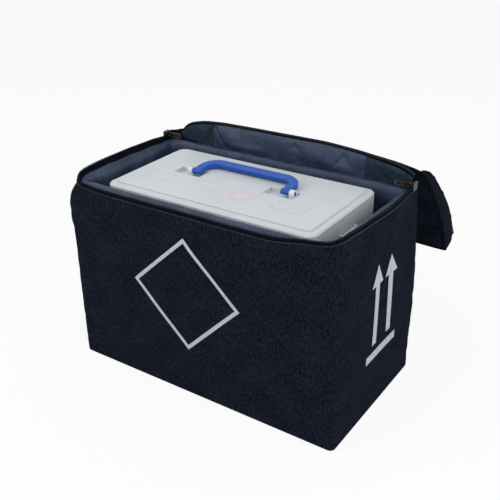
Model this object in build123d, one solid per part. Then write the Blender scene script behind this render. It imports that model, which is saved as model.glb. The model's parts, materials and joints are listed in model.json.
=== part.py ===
from build123d import *
from math import cos, radians, sin
import os

# A padded carrying bag with a zipped lid, which holds a rigid box with a carrying bail.
# The origin is the middle of the bag's base. +X is the bag's right, +Y its rear, +Z is up.
# All sizes are in millimetres. The bag is open, with its lid folded back over the rear wall.

# Bag, overall
bag_width = 354.0
bag_depth = 188.0
wall_height = 226.0
ridge_rise = 38.0
side_lean = 3.0
base_corner_radius = 6.0
rim_front_radius = 26.0
rim_rear_radius = 5.0
front_corner_steps = 6
rear_corner_steps = 3

# Fabric, padding and stiffener
cover_thickness = 1.2
lining_thickness = 0.8
lining_radius = 7.0
wall_padding = 14.0
base_padding = 8.0
base_board_thickness = 2.4
soft_gap = 0.3

# Zip
zip_inset = 2.8
zip_tape_thickness = 1.0
zip_tape_height = 8.0
zip_coil_thickness = 2.4
zip_coil_height = 2.2
zip_mesh_gap = 0.2
zip_rear_end = 89.0
lid_zip_rear_end = 75.0
zip_stop_length = 2.0
piping_radius = 1.2
cord_sides = 6

# Lid, in its closed place
lid_padding = 4.7
lid_band_thickness = 2.0
lid_band_height = 12.0
lid_piping_radius = 1.6
seam_gap = 0.1
lid_open_angle = 233.3

# Rear strip that the lid hinges on
strip_half_length = 150.0
strip_thickness = 3.6
strip_end_radius = 26.0
patch_length = 52.0
facing_gap = 1.0
gusset_height = 14.0

# Carrying handle on the lid
webbing_width = 32.0
webbing_thickness = 2.4
webbing_span = 168.0
webbing_foot = 26.0
webbing_rise = 30.0
webbing_slope = 22.0
webbing_bend = 12.0

# Zip slider and its pull
slider_length = 11.0
slider_height = 9.6
slider_plate = 1.2
slider_clearance = 0.25
slider_lip = 0.9
slider_corner = 1.6
slider_wedge_length = 3.2
slider_wedge_height = 2.6
slider_rear_gap = 0.5
bail_length = 7.0
bail_wire = 1.2
bail_window = 2.4
bail_height = 1.6
bail_corner_radius = 1.4
pull_length = 18.0
pull_width = 6.4
pull_thickness = 1.4
pull_slot = 4.0
pull_heel = 1.2
pull_heel_radius = 0.8
pull_tip_radius = 2.4
pull_fork_clearance = 0.3
pull_hole_length = 6.0
pull_hole_width = 2.4
pull_hole_inset = 5.5
pull_pin_radius = 0.8
pull_pin_clearance = 0.1

# Inner box
box_length = 272.0
box_width = 140.0
box_height = 217.5
box_corner_radius = 11.0
box_draft = 3.0
box_wall = 2.5
box_floor = 3.0
box_stand_off = 0.3
spigot_height = 12.0
spigot_wall = 2.0
spigot_clearance = 0.4
foot_ring_height = 1.5
foot_ring_width = 6.0

# Lid of the inner box
skirt_height = 29.5
plateau_inset = 8.0
plateau_rise = 2.5
shoulder_edge = 1.6
plateau_corner_radius = 7.0
plateau_edge = 0.9
lid_plate = 2.6
gasket_height = 2.0
gasket_width = 2.6
gasket_gap = 0.1
gasket_tuck = 0.2

# Bail handle of the inner box
handle_half_span = 60.0
handle_arm = 27.0
handle_width = 11.0
handle_thickness = 6.4
handle_corner_radius = 17.0
handle_rest_angle = 6.0
handle_pivot_y = 3.0
handle_pivot_rise = 2.6
handle_edge = 1.2
pivot_pin_radius = 2.4
pivot_clearance = 0.08
clip_length = 6.0
clip_wall = 1.8
clip_slit = 1.0
clip_gap = 0.4
pocket_depth = 4.6
pocket_margin = 3.5
pocket_end_gap = 1.0
pocket_entry = 16.0

# End latches of the inner box
latch_width = 28.0
latch_length = 15.0
latch_plate = 2.4
latch_knuckle_radius = 3.0
latch_pin_radius = 1.4
latch_pin_clearance = 0.07
latch_pin_fit = 0.02
latch_set_back = 1.0
latch_lip = 2.2
latch_lip_height = 2.0
latch_end_margin = 4.0
latch_rib_offset = 2.4
latch_rib_height = 2.0
latch_pivot_drop = 25.0
latch_stand_off = 0.3
ear_thickness = 2.6
ear_clearance = 0.3
ear_root = 1.0
ledge_depth = 1.4
ledge_height = 2.4

# Levels and half sizes that follow from the sizes above
bag_half_width = bag_width / 2
bag_half_depth = bag_depth / 2
ridge_height = wall_height + ridge_rise
rim_half_width = bag_half_width - side_lean
cavity_half_length = rim_half_width - wall_padding
cavity_half_width = bag_half_depth - wall_padding
board_z = cover_thickness + soft_gap
base_foam_z = board_z + base_board_thickness
lining_floor_z = base_foam_z + base_padding
cavity_floor_z = lining_floor_z + lining_thickness
foam_top_z = wall_height - lining_thickness
coil_z = wall_height + zip_tape_height
rim_top_z = coil_z + zip_coil_height
hinge_z = ridge_height - lid_piping_radius
hinge_y = bag_half_depth - lid_piping_radius + 0.2
lid_seam_z = hinge_z - lid_piping_radius - seam_gap
lid_inset = bag_half_depth - hinge_y + lid_piping_radius + seam_gap
panel_low_z = lid_seam_z - lid_padding - lining_thickness
panel_rear_y = hinge_y - strip_thickness
strip_top_z = hinge_z - lid_piping_radius - soft_gap
box_z = cavity_floor_z + box_stand_off
plateau_z = box_z + box_height
shoulder_z = plateau_z - plateau_rise
skirt_z = shoulder_z - skirt_height + plateau_rise
spigot_z = skirt_z + spigot_height
handle_pivot_z = plateau_z + handle_pivot_rise
latch_pivot_z = plateau_z - latch_pivot_drop
latch_rib_z = latch_pivot_z - latch_length + latch_rib_offset
latch_rib_top_z = latch_rib_z + latch_rib_height
latch_pivot_x = box_length / 2 + latch_knuckle_radius + latch_stand_off
slider_y = zip_rear_end - slider_rear_gap - slider_length / 2
slider_x = rim_half_width - zip_inset

nodes = {}


# Shared outlines and forms

def plan(half_width, half_depth, front_radius, rear_radius):
    """A flat rectangle with one radius on its front corners and one on its rear corners."""
    face = Rectangle(2 * half_width, 2 * half_depth)
    face = fillet(face.vertices().group_by(Axis.Y)[0], front_radius)
    return fillet(face.vertices().group_by(Axis.Y)[-1], rear_radius)


def rounded_box(length, width, radius, z_low, z_high):
    face = Pos(0, 0, z_low) * RectangleRounded(length, width, radius)
    return extrude(face, z_high - z_low)


def block(x_low, x_high, y_low, y_high, z_low, z_high):
    middle = ((x_low + x_high) / 2, (y_low + y_high) / 2, (z_low + z_high) / 2)
    return Pos(*middle) * Box(x_high - x_low, y_high - y_low, z_high - z_low)


def across(length, radius, x, y, z):
    """A round bar along X."""
    return Pos(x, y, z) * Rot(0, 90, 0) * Cylinder(radius, length)


def along(length, radius, x, y, z):
    """A round bar along Y."""
    return Pos(x, y, z) * Rot(90, 0, 0) * Cylinder(radius, length)


def stepped_plan(half_width, half_depth, front_radius, rear_radius):
    """The same outline with its corners in short straight steps, so that sloping walls stay flat."""
    points = []
    front, rear = (front_radius, front_corner_steps), (rear_radius, rear_corner_steps)
    corners = ((1, -1, -90, *front), (1, 1, 0, *rear), (-1, 1, 90, *rear), (-1, -1, 180, *front))
    for side_x, side_y, start, radius, steps in corners:
        for step in range(steps + 1):
            turn = radians(start + 90 * step / steps)
            points.append((side_x * (half_width - radius) + radius * cos(turn),
                           side_y * (half_depth - radius) + radius * sin(turn)))
    return make_face(Polyline(*points, close=True))


def body_form(inset):
    """The bag's outside, drawn in by an inset: square at the base and rounder at its narrower rim."""
    depth = bag_half_depth - inset
    base = stepped_plan(bag_half_width - inset, depth, base_corner_radius - inset, base_corner_radius - inset)
    rim = stepped_plan(rim_half_width - inset, depth, rim_front_radius - inset, rim_rear_radius - inset)
    return loft(Sketch() + [base, Pos(0, 0, wall_height) * rim], ruled=True)


def rim_plan(inset):
    return plan(rim_half_width - inset, bag_half_depth - inset,
                rim_front_radius - inset, rim_rear_radius - inset)


def rim_wall(inset, thickness, z_low, z_high):
    """An upright band that follows the rim all the way round."""
    ring = rim_plan(inset) - rim_plan(inset + thickness)
    return extrude(Pos(0, 0, z_low) * ring, z_high - z_low)


def in_front_of(y):
    return block(-bag_width, bag_width, -bag_depth, y, 0, 2 * ridge_height)


def cord_section(radius):
    return RegularPolygon(radius, cord_sides)


def rim_cord(radius, inset, z, rear_y):
    """A piping cord along the left, front and right of the rim."""
    x = rim_half_width - inset
    y = bag_half_depth - inset
    path = FilletPolyline((-x, rear_y, z), (-x, -y, z), (x, -y, z), (x, rear_y, z),
                          radius=rim_front_radius - inset)
    return sweep(Plane(path @ 0, z_dir=path % 0) * cord_section(radius), path)


# Bag walls and base

def outer_cover():
    ring = body_form(0) - body_form(cover_thickness)
    return ring & block(-bag_width, bag_width, -bag_depth, bag_depth, cover_thickness, wall_height)


def base_cover():
    face = plan(bag_half_width, bag_half_depth, base_corner_radius, base_corner_radius)
    return extrude(face, cover_thickness)


def inner_slab(z_low, z_high):
    x = cavity_half_length
    y = cavity_half_width
    return block(-x, x, -y, y, z_low, z_high)


def wall_foams():
    """Four separate pads that stand on the base cover and fill the walls."""
    core = body_form(cover_thickness + soft_gap)
    low = cover_thickness + soft_gap
    x = cavity_half_length + lining_thickness + soft_gap
    y = cavity_half_width + lining_thickness + soft_gap
    far = bag_width
    front = core & block(-far, far, -far, -y, low, foam_top_z)
    rear = core & block(-far, far, y, far, low, foam_top_z)
    right = core & block(x, far, -y + soft_gap, y - soft_gap, low, foam_top_z)
    left = core & block(-far, -x, -y + soft_gap, y - soft_gap, low, foam_top_z)
    return front, rear, left, right


def lining():
    """A sewn tub with a fold that covers the top of the wall pads."""
    t = lining_thickness
    length = 2 * cavity_half_length
    width = 2 * cavity_half_width
    tub = rounded_box(length + 2 * t, width + 2 * t, lining_radius + t, lining_floor_z, wall_height)
    fold = extrude(Pos(0, 0, foam_top_z) * rim_plan(cover_thickness + soft_gap), t)
    space = rounded_box(length, width, lining_radius, cavity_floor_z, 2 * wall_height)
    return tub + fold - space


front_foam, rear_foam, left_foam, right_foam = wall_foams()
nodes["base_cover"] = base_cover()
nodes["outer_cover"] = outer_cover()
nodes["base_board"] = inner_slab(board_z, base_foam_z)
nodes["base_foam"] = inner_slab(base_foam_z, lining_floor_z)
nodes["front_foam"] = front_foam
nodes["rear_foam"] = rear_foam
nodes["left_foam"] = left_foam
nodes["right_foam"] = right_foam
nodes["lining"] = lining()


# Rim: piping, lower zip tape and lower coil

def lower_tape():
    inset = zip_inset - zip_tape_thickness / 2
    return rim_wall(inset, zip_tape_thickness, wall_height, coil_z) & in_front_of(zip_rear_end)


def lower_coil():
    inset = zip_inset - zip_coil_thickness / 2
    return rim_wall(inset, zip_coil_thickness, coil_z, rim_top_z) & in_front_of(zip_rear_end)


def zip_stops():
    """One crimped stop behind each end of the lower coil."""
    stops = []
    for side in (-1, 1):
        x = side * slider_x
        half = zip_coil_thickness / 2 + 0.3
        y = zip_rear_end
        stops.append(block(x - half, x + half, y, y + zip_stop_length, coil_z - 0.8, rim_top_z))
    return Compound(stops)


nodes["rim_piping"] = rim_cord(piping_radius, piping_radius - 0.2, wall_height + piping_radius, zip_rear_end)
nodes["zip_tape_lower"] = lower_tape()
nodes["zip_coil_lower"] = lower_coil()
nodes["zip_stops"] = zip_stops()


# Rear strip, its lining and its woven ends

def strip_wall(y_low, y_high):
    """An upright wall along the rear whose top corners are rounded off."""
    wall = block(-strip_half_length, strip_half_length, y_low, y_high, wall_height, strip_top_z)
    top_corners = wall.edges().filter_by(Axis.Y).group_by(Axis.Z)[-1]
    return fillet(top_corners, strip_end_radius)


def strip_facing(x_low, x_high):
    """A length of the lining in front of the strip, below the closed lid."""
    front = bag_half_depth - strip_thickness
    wall = strip_wall(front - lining_thickness, front)
    return wall & block(x_low, x_high, 0, bag_depth, 0, panel_low_z - facing_gap)


def corner_gusset(side):
    """The short curved wall that closes the corner between the strip and the zip's end."""
    ring = rim_wall(0, cover_thickness, wall_height, wall_height + gusset_height)
    near = strip_half_length + soft_gap
    keep = block(near, bag_width, zip_rear_end + zip_stop_length + soft_gap, bag_depth, 0, ridge_height)
    piece = ring & keep
    return piece if side > 0 else mirror(piece, about=Plane.YZ)


facing_half = strip_half_length - patch_length
nodes["hinge_strip"] = strip_wall(bag_half_depth - strip_thickness, bag_half_depth)
nodes["strip_lining"] = strip_facing(-facing_half, facing_half)
nodes["strip_patch_left"] = strip_facing(-strip_half_length, -facing_half)
nodes["strip_patch_right"] = strip_facing(facing_half, strip_half_length)
nodes["corner_gusset_left"] = corner_gusset(-1)
nodes["corner_gusset_right"] = corner_gusset(1)


# Lid, drawn closed and then turned open about its ridge

def opened(shape):
    ridge = Axis((0, hinge_y, hinge_z), (1, 0, 0))
    return shape.rotate(ridge, -lid_open_angle)


def lid_layer(inset, z_low, z_high):
    return extrude(Pos(0, 0, z_low) * rim_plan(inset), z_high - z_low)


def lid_filling(z_low, z_high):
    """A layer inside the side band that stops in front of the rear strip."""
    return lid_layer(lid_band_thickness, z_low, z_high) & in_front_of(panel_rear_y)


def lid_band():
    band = rim_wall(0, lid_band_thickness, panel_low_z - lid_band_height, lid_seam_z)
    return band & in_front_of(zip_rear_end)


def lid_piping():
    """A cord round the whole lid. Its rear run lies on the hinge line."""
    inset = bag_half_depth - hinge_y
    face = rim_plan(inset)
    path = Pos(0, 0, hinge_z) * face.wire()
    return sweep(Plane(path @ 0, z_dir=path % 0) * cord_section(lid_piping_radius), path)


def upper_tape():
    inset = zip_inset - zip_tape_thickness / 2
    low = rim_top_z + zip_mesh_gap + zip_coil_height
    return rim_wall(inset, zip_tape_thickness, low, low + zip_tape_height) & in_front_of(lid_zip_rear_end)


def upper_coil():
    inset = zip_inset - zip_coil_thickness / 2
    low = rim_top_z + zip_mesh_gap
    return rim_wall(inset, zip_coil_thickness, low, low + zip_coil_height) & in_front_of(lid_zip_rear_end)


def carry_handle():
    """Webbing sewn flat at both ends, with an arch between for the hand."""
    end = webbing_span / 2
    foot = end - webbing_foot
    low = lid_seam_z + cover_thickness + webbing_thickness / 2
    high = low + webbing_rise
    arch = foot - webbing_slope
    path = FilletPolyline((-end, 0, low), (-foot, 0, low), (-arch, 0, high), (arch, 0, high),
                          (foot, 0, low), (end, 0, low), radius=webbing_bend)
    section = Plane(path @ 0, x_dir=(0, 1, 0), z_dir=path % 0) * Rectangle(webbing_width, webbing_thickness)
    return sweep(section, path)


lid_parts = {
    "lid_cover": lid_layer(lid_inset, lid_seam_z, lid_seam_z + cover_thickness),
    "lid_foam": lid_filling(panel_low_z + lining_thickness, lid_seam_z),
    "lid_lining": lid_filling(panel_low_z, panel_low_z + lining_thickness),
    "lid_band": lid_band(),
    "lid_piping": lid_piping(),
    "zip_tape_upper": upper_tape(),
    "zip_coil_upper": upper_coil(),
    "carry_handle": carry_handle(),
}
for name, shape in lid_parts.items():
    nodes[name] = opened(shape)


# Zip sliders and pulls, drawn for the right side

def slider_middle():
    return Pos(slider_x, slider_y, rim_top_z + zip_mesh_gap / 2)


def slider():
    """Two plates with turned-in lips, joined by a wedge at the nose, with a bail on the inner plate."""
    reach = zip_coil_thickness / 2 + slider_clearance
    outer = reach + slider_plate
    half_length = slider_length / 2
    lip_reach = zip_tape_thickness / 2 + slider_clearance
    plates = Box(2 * outer, slider_length, slider_height)
    plates = chamfer(plates.edges().filter_by(Axis.X), slider_corner)
    channel = Box(2 * reach, 2 * slider_length, slider_height - 2 * slider_lip)
    slot = Box(2 * lip_reach, 2 * slider_length, 2 * slider_height)
    wedge_low = slider_clearance - zip_mesh_gap / 2
    wedge = block(-reach, reach, -half_length, -half_length + slider_wedge_length,
                  wedge_low, wedge_low + slider_wedge_height)
    wedge = fillet(wedge.edges().filter_by(Axis.X), slider_wedge_height / 2.2)
    stand_off = bail_window + bail_wire
    bail = Pos(-outer - stand_off / 2, 0, 0) * Box(stand_off, bail_length, bail_height)
    bail = fillet(bail.edges().filter_by(Axis.Z).group_by(Axis.X)[0], bail_corner_radius)
    window = Pos(-outer - bail_window / 2, 0, 0) * Box(bail_window, bail_length - 2 * bail_wire,
                                                            2 * bail_height)
    return slider_middle() * (plates - channel - slot + wedge + bail - window)


def pull_pin_reach():
    """How far the pull's pin sits from the middle of the zip, under the bail."""
    outer = zip_coil_thickness / 2 + slider_clearance + slider_plate
    return outer + bail_window - pull_pin_radius - pull_pin_clearance


def pull():
    """A flat tab with a long hole, forked round the bail and carried by a cross pin."""
    half = pull_width / 2
    tab = block(-pull_thickness / 2, pull_thickness / 2, -pull_heel, pull_length, -half, half)
    tab = fillet(tab.edges().filter_by(Axis.X).group_by(Axis.Y)[-1], pull_tip_radius)
    tab = fillet(tab.edges().filter_by(Axis.X).group_by(Axis.Y)[0], pull_heel_radius)
    slot_half = bail_height / 2 + pull_fork_clearance
    fork = block(-pull_width, pull_width, -pull_width, pull_slot, -slot_half, slot_half)
    hole = Plane.YZ * Pos(pull_length - pull_hole_inset, 0) * extrude(
        SlotOverall(pull_hole_length, pull_hole_width), pull_width, both=True)
    pin = Cylinder(pull_pin_radius, pull_width - pull_heel_radius)
    return slider_middle() * Pos(-pull_pin_reach(), 0, 0) * Rot(0, 0, 90) * (tab - fork - hole + pin)


right_slider = slider()
right_pull = pull()
nodes["slider_right"] = right_slider
nodes["slider_left"] = mirror(right_slider, about=Plane.YZ)
nodes["pull_right"] = right_pull
nodes["pull_left"] = mirror(right_pull, about=Plane.YZ)


# Inner box: drafted tub with a spigot that the lid fits over

def drafted(inset, z_low, z_high):
    """A rounded block that narrows towards the box's floor, drawn in by an inset."""
    height = skirt_z - box_z
    radius = box_corner_radius - inset

    def section(z):
        shrink = inset + box_draft * (skirt_z - z) / height
        return Pos(0, 0, z) * RectangleRounded(box_length - 2 * shrink, box_width - 2 * shrink, radius)

    return loft(Sketch() + [section(z_low), section(z_high)])


def box_base():
    shell = drafted(0, box_z, skirt_z)
    step = box_wall + spigot_clearance
    spigot = rounded_box(box_length - 2 * step, box_width - 2 * step, box_corner_radius - step,
                         skirt_z, spigot_z)
    inside = drafted(step + spigot_wall, box_z + box_floor + foot_ring_height, skirt_z)
    throat = step + spigot_wall
    mouth = rounded_box(box_length - 2 * throat, box_width - 2 * throat, box_corner_radius - throat,
                        skirt_z, spigot_z + 1)
    under = rounded_box(box_length - 2 * box_draft - 2 * foot_ring_width,
                        box_width - 2 * box_draft - 2 * foot_ring_width,
                        box_corner_radius - box_draft, box_z - 1, box_z + foot_ring_height)
    shape = shell + spigot - inside - mouth - under
    low = latch_rib_top_z + latch_stand_off
    half = latch_width / 2 - latch_end_margin / 2
    x = box_length / 2
    for side in (-1, 1):
        a, b = sorted((side * (x - ear_root), side * (x + ledge_depth)))
        shape += block(a, b, -half, half, low, low + ledge_height)
    return shape


def handle_pockets(rim, depth):
    """The space round each handle foot, open to one side, or the boss below it with a rim added."""
    inner = handle_half_span - handle_width / 2 - pocket_margin - rim
    outer = handle_half_span + handle_width / 2 + clip_length + pocket_end_gap + rim
    reach = handle_width / 2 + pocket_margin + rim
    shapes = []
    for side in (-1, 1):
        a, b = sorted((side * inner, side * outer))
        shapes.append(block(a - pocket_entry, b, handle_pivot_y - reach, handle_pivot_y + reach,
                            plateau_z - depth, plateau_z))
    return shapes


def box_lid():
    """A moulded cap with a raised plateau, handle pockets and latch ears."""
    cap = rounded_box(box_length, box_width, box_corner_radius, skirt_z, shoulder_z)
    cap = chamfer(cap.edges().group_by(Axis.Z)[-1], shoulder_edge)
    plateau = rounded_box(box_length - 2 * plateau_inset, box_width - 2 * plateau_inset,
                          plateau_corner_radius, shoulder_z, plateau_z)
    plateau = chamfer(plateau.edges().group_by(Axis.Z)[-1], plateau_edge)
    wall = box_wall
    hollow = rounded_box(box_length - 2 * wall, box_width - 2 * wall, box_corner_radius - wall,
                         skirt_z, shoulder_z - lid_plate)
    inset = plateau_inset + lid_plate
    dish = rounded_box(box_length - 2 * inset, box_width - 2 * inset, plateau_corner_radius - wall,
                       shoulder_z - lid_plate, plateau_z - lid_plate)
    shape = cap + plateau - hollow - dish
    for boss in handle_pockets(lid_plate, pocket_depth + lid_plate):
        shape += boss
    for pocket in handle_pockets(0, pocket_depth):
        shape -= pocket
    for side in (-1, 1):
        for end in (-1, 1):
            shape += latch_ear(side, end)
        bore = latch_pin_radius + latch_pin_fit
        shape -= along(2 * latch_width, bore, side * latch_pivot_x, 0, latch_pivot_z)
    return shape


def latch_ear(side, end):
    y = end * (latch_width / 2 + ear_clearance + ear_thickness / 2)
    x = side * latch_pivot_x
    round_end = along(ear_thickness, latch_knuckle_radius, x, y, latch_pivot_z)
    a, b = sorted((x, side * (box_length / 2 - ear_root)))
    half = ear_thickness / 2
    root = block(a, b, y - half, y + half, latch_pivot_z - latch_knuckle_radius,
                 latch_pivot_z + latch_knuckle_radius)
    return round_end + root


def lid_gasket():
    """A square ring in the lid that the top of the spigot meets."""
    step = box_wall + spigot_clearance - gasket_tuck
    low = spigot_z + gasket_gap
    ring = rounded_box(box_length - 2 * step, box_width - 2 * step, box_corner_radius - step,
                       low, low + gasket_height)
    inner = step + gasket_width
    hole = rounded_box(box_length - 2 * inner, box_width - 2 * inner, box_corner_radius - inner,
                       spigot_z, low + 2 * gasket_height)
    return ring - hole


nodes["box_base"] = box_base()
nodes["box_lid"] = box_lid()
nodes["lid_gasket"] = lid_gasket()


# Bail handle and the clips that hold its pins

def handle_place():
    return Pos(0, handle_pivot_y, handle_pivot_z) * Rot(handle_rest_angle, 0, 0)


def box_handle():
    """A flat bail drawn lying along +Y from its pivot, with a stub pin out of each foot."""
    half = handle_half_span
    path = FilletPolyline((-half, 0, 0), (-half, handle_arm, 0), (half, handle_arm, 0), (half, 0, 0),
                          radius=handle_corner_radius)
    profile = Rectangle(handle_width, handle_thickness)
    profile = chamfer(profile.vertices(), handle_edge)
    section = Plane(path @ 0, x_dir=(1, 0, 0), z_dir=path % 0) * profile
    bail = sweep(section, path)
    for side in (-1, 1):
        bail += across(handle_width, handle_thickness / 2, side * half, 0, 0)
        tip = side * (half + handle_width / 2 + clip_length / 2)
        bail += across(clip_length, pivot_pin_radius, tip, 0, 0)
    return handle_place() * bail


def pivot_clip(side):
    """A snap-in clip with the bore that the handle's pin turns in and a slit above it."""
    low = handle_half_span + handle_width / 2 + clip_gap
    a, b = sorted((side * low, side * (low + clip_length - clip_gap)))
    radius = pivot_pin_radius + clip_wall
    y = handle_pivot_y
    foot = block(a, b, y - radius, y + radius, plateau_z - pocket_depth, handle_pivot_z)
    head = across(b - a, radius, (a + b) / 2, y, handle_pivot_z)
    bore = across(3 * clip_length, pivot_pin_radius + pivot_clearance, (a + b) / 2, y, handle_pivot_z)
    slit = block(a - radius, b + radius, y - clip_slit / 2, y + clip_slit / 2,
                 handle_pivot_z, handle_pivot_z + 2 * radius)
    return foot + head - bore - slit


nodes["box_handle"] = box_handle()
nodes["pivot_clip_left"] = pivot_clip(-1)
nodes["pivot_clip_right"] = pivot_clip(1)


# End latches: a hanging plate with a knuckle, a catch rib and a curled finger lip

def latch():
    x = latch_pivot_x
    z = latch_pivot_z
    half = latch_width / 2
    inner = x - latch_set_back
    outer = inner + latch_plate
    tip = z - latch_length
    knuckle = along(latch_width, latch_knuckle_radius, x, 0, z)
    plate = block(inner, outer, -half, half, tip, z)
    reach = half - latch_end_margin
    lip = block(inner, outer + latch_lip, -reach, reach, tip, tip + latch_lip_height)
    lip = fillet(lip.edges().filter_by(Axis.Z).group_by(Axis.X)[-1], latch_lip * 0.7)
    rib = block(box_length / 2 + ledge_depth + latch_stand_off, inner + latch_plate / 2, -reach, reach,
                latch_rib_z, latch_rib_top_z)
    bore = along(2 * latch_width, latch_pin_radius + latch_pin_clearance, x, 0, z)
    return knuckle + plate + lip + rib - bore


def latch_pin():
    length = latch_width + 2 * (ear_clearance + ear_thickness)
    return along(length, latch_pin_radius, latch_pivot_x, 0, latch_pivot_z)


right_latch = latch()
right_pin = latch_pin()
nodes["latch_right"] = right_latch
nodes["latch_left"] = mirror(right_latch, about=Plane.YZ)
nodes["latch_pin_right"] = right_pin
nodes["latch_pin_left"] = mirror(right_pin, about=Plane.YZ)


os.makedirs("parts", exist_ok=True)
for name, shape in nodes.items():
    export_step(shape, f"parts/{name}.step")
print("nodes", len(nodes))
print("hinge line y, z", round(hinge_y, 2), round(hinge_z, 2))
print("handle pivot y, z", handle_pivot_y, round(handle_pivot_z, 2))
print("latch pivot x, z", round(latch_pivot_x, 2), round(latch_pivot_z, 2))
pin_z = rim_top_z + zip_mesh_gap / 2
print("pull pin x, y, z", round(slider_x - pull_pin_reach(), 2), slider_y, round(pin_z, 2))
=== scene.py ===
# %% [markdown]
# # A padded bag that stands open round a rigid box
# The real bag is sewn from a coarse dark weave over foam pads, with a satin lining folded over its
# rim and a lid folded back over the rear wall. Its hard pieces come from a CAD frame, which fixes
# sizes and joints. Blender adds what solids are poor at: cloth that bulges and creases, and finishes.

# %% Load the frame
import json
import math

import bmesh
import bpy
import numpy as np
from mathutils import Matrix, Vector


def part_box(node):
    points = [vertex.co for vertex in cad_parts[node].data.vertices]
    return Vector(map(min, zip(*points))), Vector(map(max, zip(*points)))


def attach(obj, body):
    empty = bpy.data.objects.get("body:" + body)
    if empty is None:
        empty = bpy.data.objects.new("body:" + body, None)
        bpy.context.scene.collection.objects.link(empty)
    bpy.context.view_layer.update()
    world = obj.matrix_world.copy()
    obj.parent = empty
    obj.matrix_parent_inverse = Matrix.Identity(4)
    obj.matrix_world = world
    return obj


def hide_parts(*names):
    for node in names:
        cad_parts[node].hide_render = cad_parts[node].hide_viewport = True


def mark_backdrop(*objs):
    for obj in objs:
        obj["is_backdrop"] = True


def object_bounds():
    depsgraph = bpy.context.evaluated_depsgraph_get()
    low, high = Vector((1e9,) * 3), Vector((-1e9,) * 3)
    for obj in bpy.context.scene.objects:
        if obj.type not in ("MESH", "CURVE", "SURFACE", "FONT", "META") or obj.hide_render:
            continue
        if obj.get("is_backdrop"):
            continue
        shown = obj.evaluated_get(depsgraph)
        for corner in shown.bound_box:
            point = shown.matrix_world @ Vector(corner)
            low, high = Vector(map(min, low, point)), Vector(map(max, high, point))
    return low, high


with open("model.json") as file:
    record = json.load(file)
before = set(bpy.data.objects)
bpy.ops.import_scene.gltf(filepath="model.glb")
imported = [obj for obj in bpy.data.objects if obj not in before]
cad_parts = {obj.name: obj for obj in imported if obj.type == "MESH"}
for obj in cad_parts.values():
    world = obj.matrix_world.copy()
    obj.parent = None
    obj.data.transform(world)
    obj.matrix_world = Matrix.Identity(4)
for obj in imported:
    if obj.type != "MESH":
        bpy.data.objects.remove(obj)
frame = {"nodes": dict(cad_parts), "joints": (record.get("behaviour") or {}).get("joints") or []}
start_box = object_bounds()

MM = 0.001
nodes = frame["nodes"]

# %% [markdown]
# ## Sizes from the frame
# Fabric has to fit the hard pieces under it. Typed sizes would be left behind when the frame
# changes, so they are read from the CAD nodes' boxes. They are millimetres until a mesh is made.

# %% Read the sizes


def cad_box(name):
    low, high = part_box(name)
    return np.array(low) / MM, np.array(high) / MM


HALF_WIDTH, HALF_DEPTH = cad_box("base_cover")[1][:2]
WALL_TOP = cad_box("outer_cover")[1][2]
RIM_HALF = cad_box("zip_stops")[1][0] + 1.3
FRONT_RADIUS, REAR_RADIUS, BASE_RADIUS = 26.0, 5.0, 6.0
COIL_Z = cad_box("zip_coil_lower")[0][2]
ZIP_END, COIL_TOP = cad_box("zip_coil_lower")[1][1:]
FLOOR_Z = cad_box("lining")[0][2]
LID_HINGE = next(joint for joint in frame["joints"] if joint["name"] == "lid_hinge")
HINGE_Y, HINGE_Z = (value / MM for value in LID_HINGE["pos_m"][1:])
print("half width", HALF_WIDTH, "half depth", HALF_DEPTH, "walls", WALL_TOP, "hinge", HINGE_Y, HINGE_Z)

# %% [markdown]
# ## Camera
# The photographer stood in front of the bag, to its right and above it. A camera could be moved by
# eye until it looks right, but place and lens were worked out from the bag's corners in the
# photograph, so that edges converge in the same way.

# %% Place the camera
CAMERA_PLACE = Vector((0.4598, -0.6404, 0.5475))
CAMERA_LENS = 54.785
CAMERA_YAW, CAMERA_PITCH, CAMERA_ROLL = (math.radians(a) for a in (34.89, 26.86, -1.33))


def make_camera():
    ahead = Vector((-math.sin(CAMERA_YAW) * math.cos(CAMERA_PITCH),
                    math.cos(CAMERA_YAW) * math.cos(CAMERA_PITCH), -math.sin(CAMERA_PITCH)))
    level = Vector((math.cos(CAMERA_YAW), math.sin(CAMERA_YAW), 0))
    above = level.cross(ahead)
    right = math.cos(CAMERA_ROLL) * level + math.sin(CAMERA_ROLL) * above
    up = math.cos(CAMERA_ROLL) * above - math.sin(CAMERA_ROLL) * level
    data = bpy.data.cameras.new("camera")
    data.lens = CAMERA_LENS
    data.clip_start, data.clip_end = 0.05, 20
    camera = bpy.data.objects.new("camera", data)
    bpy.context.scene.collection.objects.link(camera)
    camera.matrix_world = Matrix.Translation(CAMERA_PLACE) @ Matrix((right, up, -ahead)).transposed().to_4x4()
    bpy.context.scene.camera = camera
    return camera


print("camera at", tuple(round(v, 3) for v in make_camera().location))

# %% [markdown]
# ## Floor, sky and lamps
# The picture's background is plain white and the floor shows only a faint shadow. A bright sky would
# do that but would also wash out the dark cloth. So two shaders are mixed by the kind of ray: one
# lights the bag, and the other is what the camera and shiny or clear surfaces see.

# %% Shaders that light and shaders that show


def node_tree(owner):
    owner.use_nodes = True
    owner.node_tree.nodes.clear()
    return owner.node_tree


def plain_shader(tree, kind, colour, strength=None):
    node = tree.nodes.new(kind)
    node.inputs["Color"].default_value = (*colour, 1)
    if strength is not None:
        node.inputs["Strength"].default_value = strength
    return node


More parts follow.
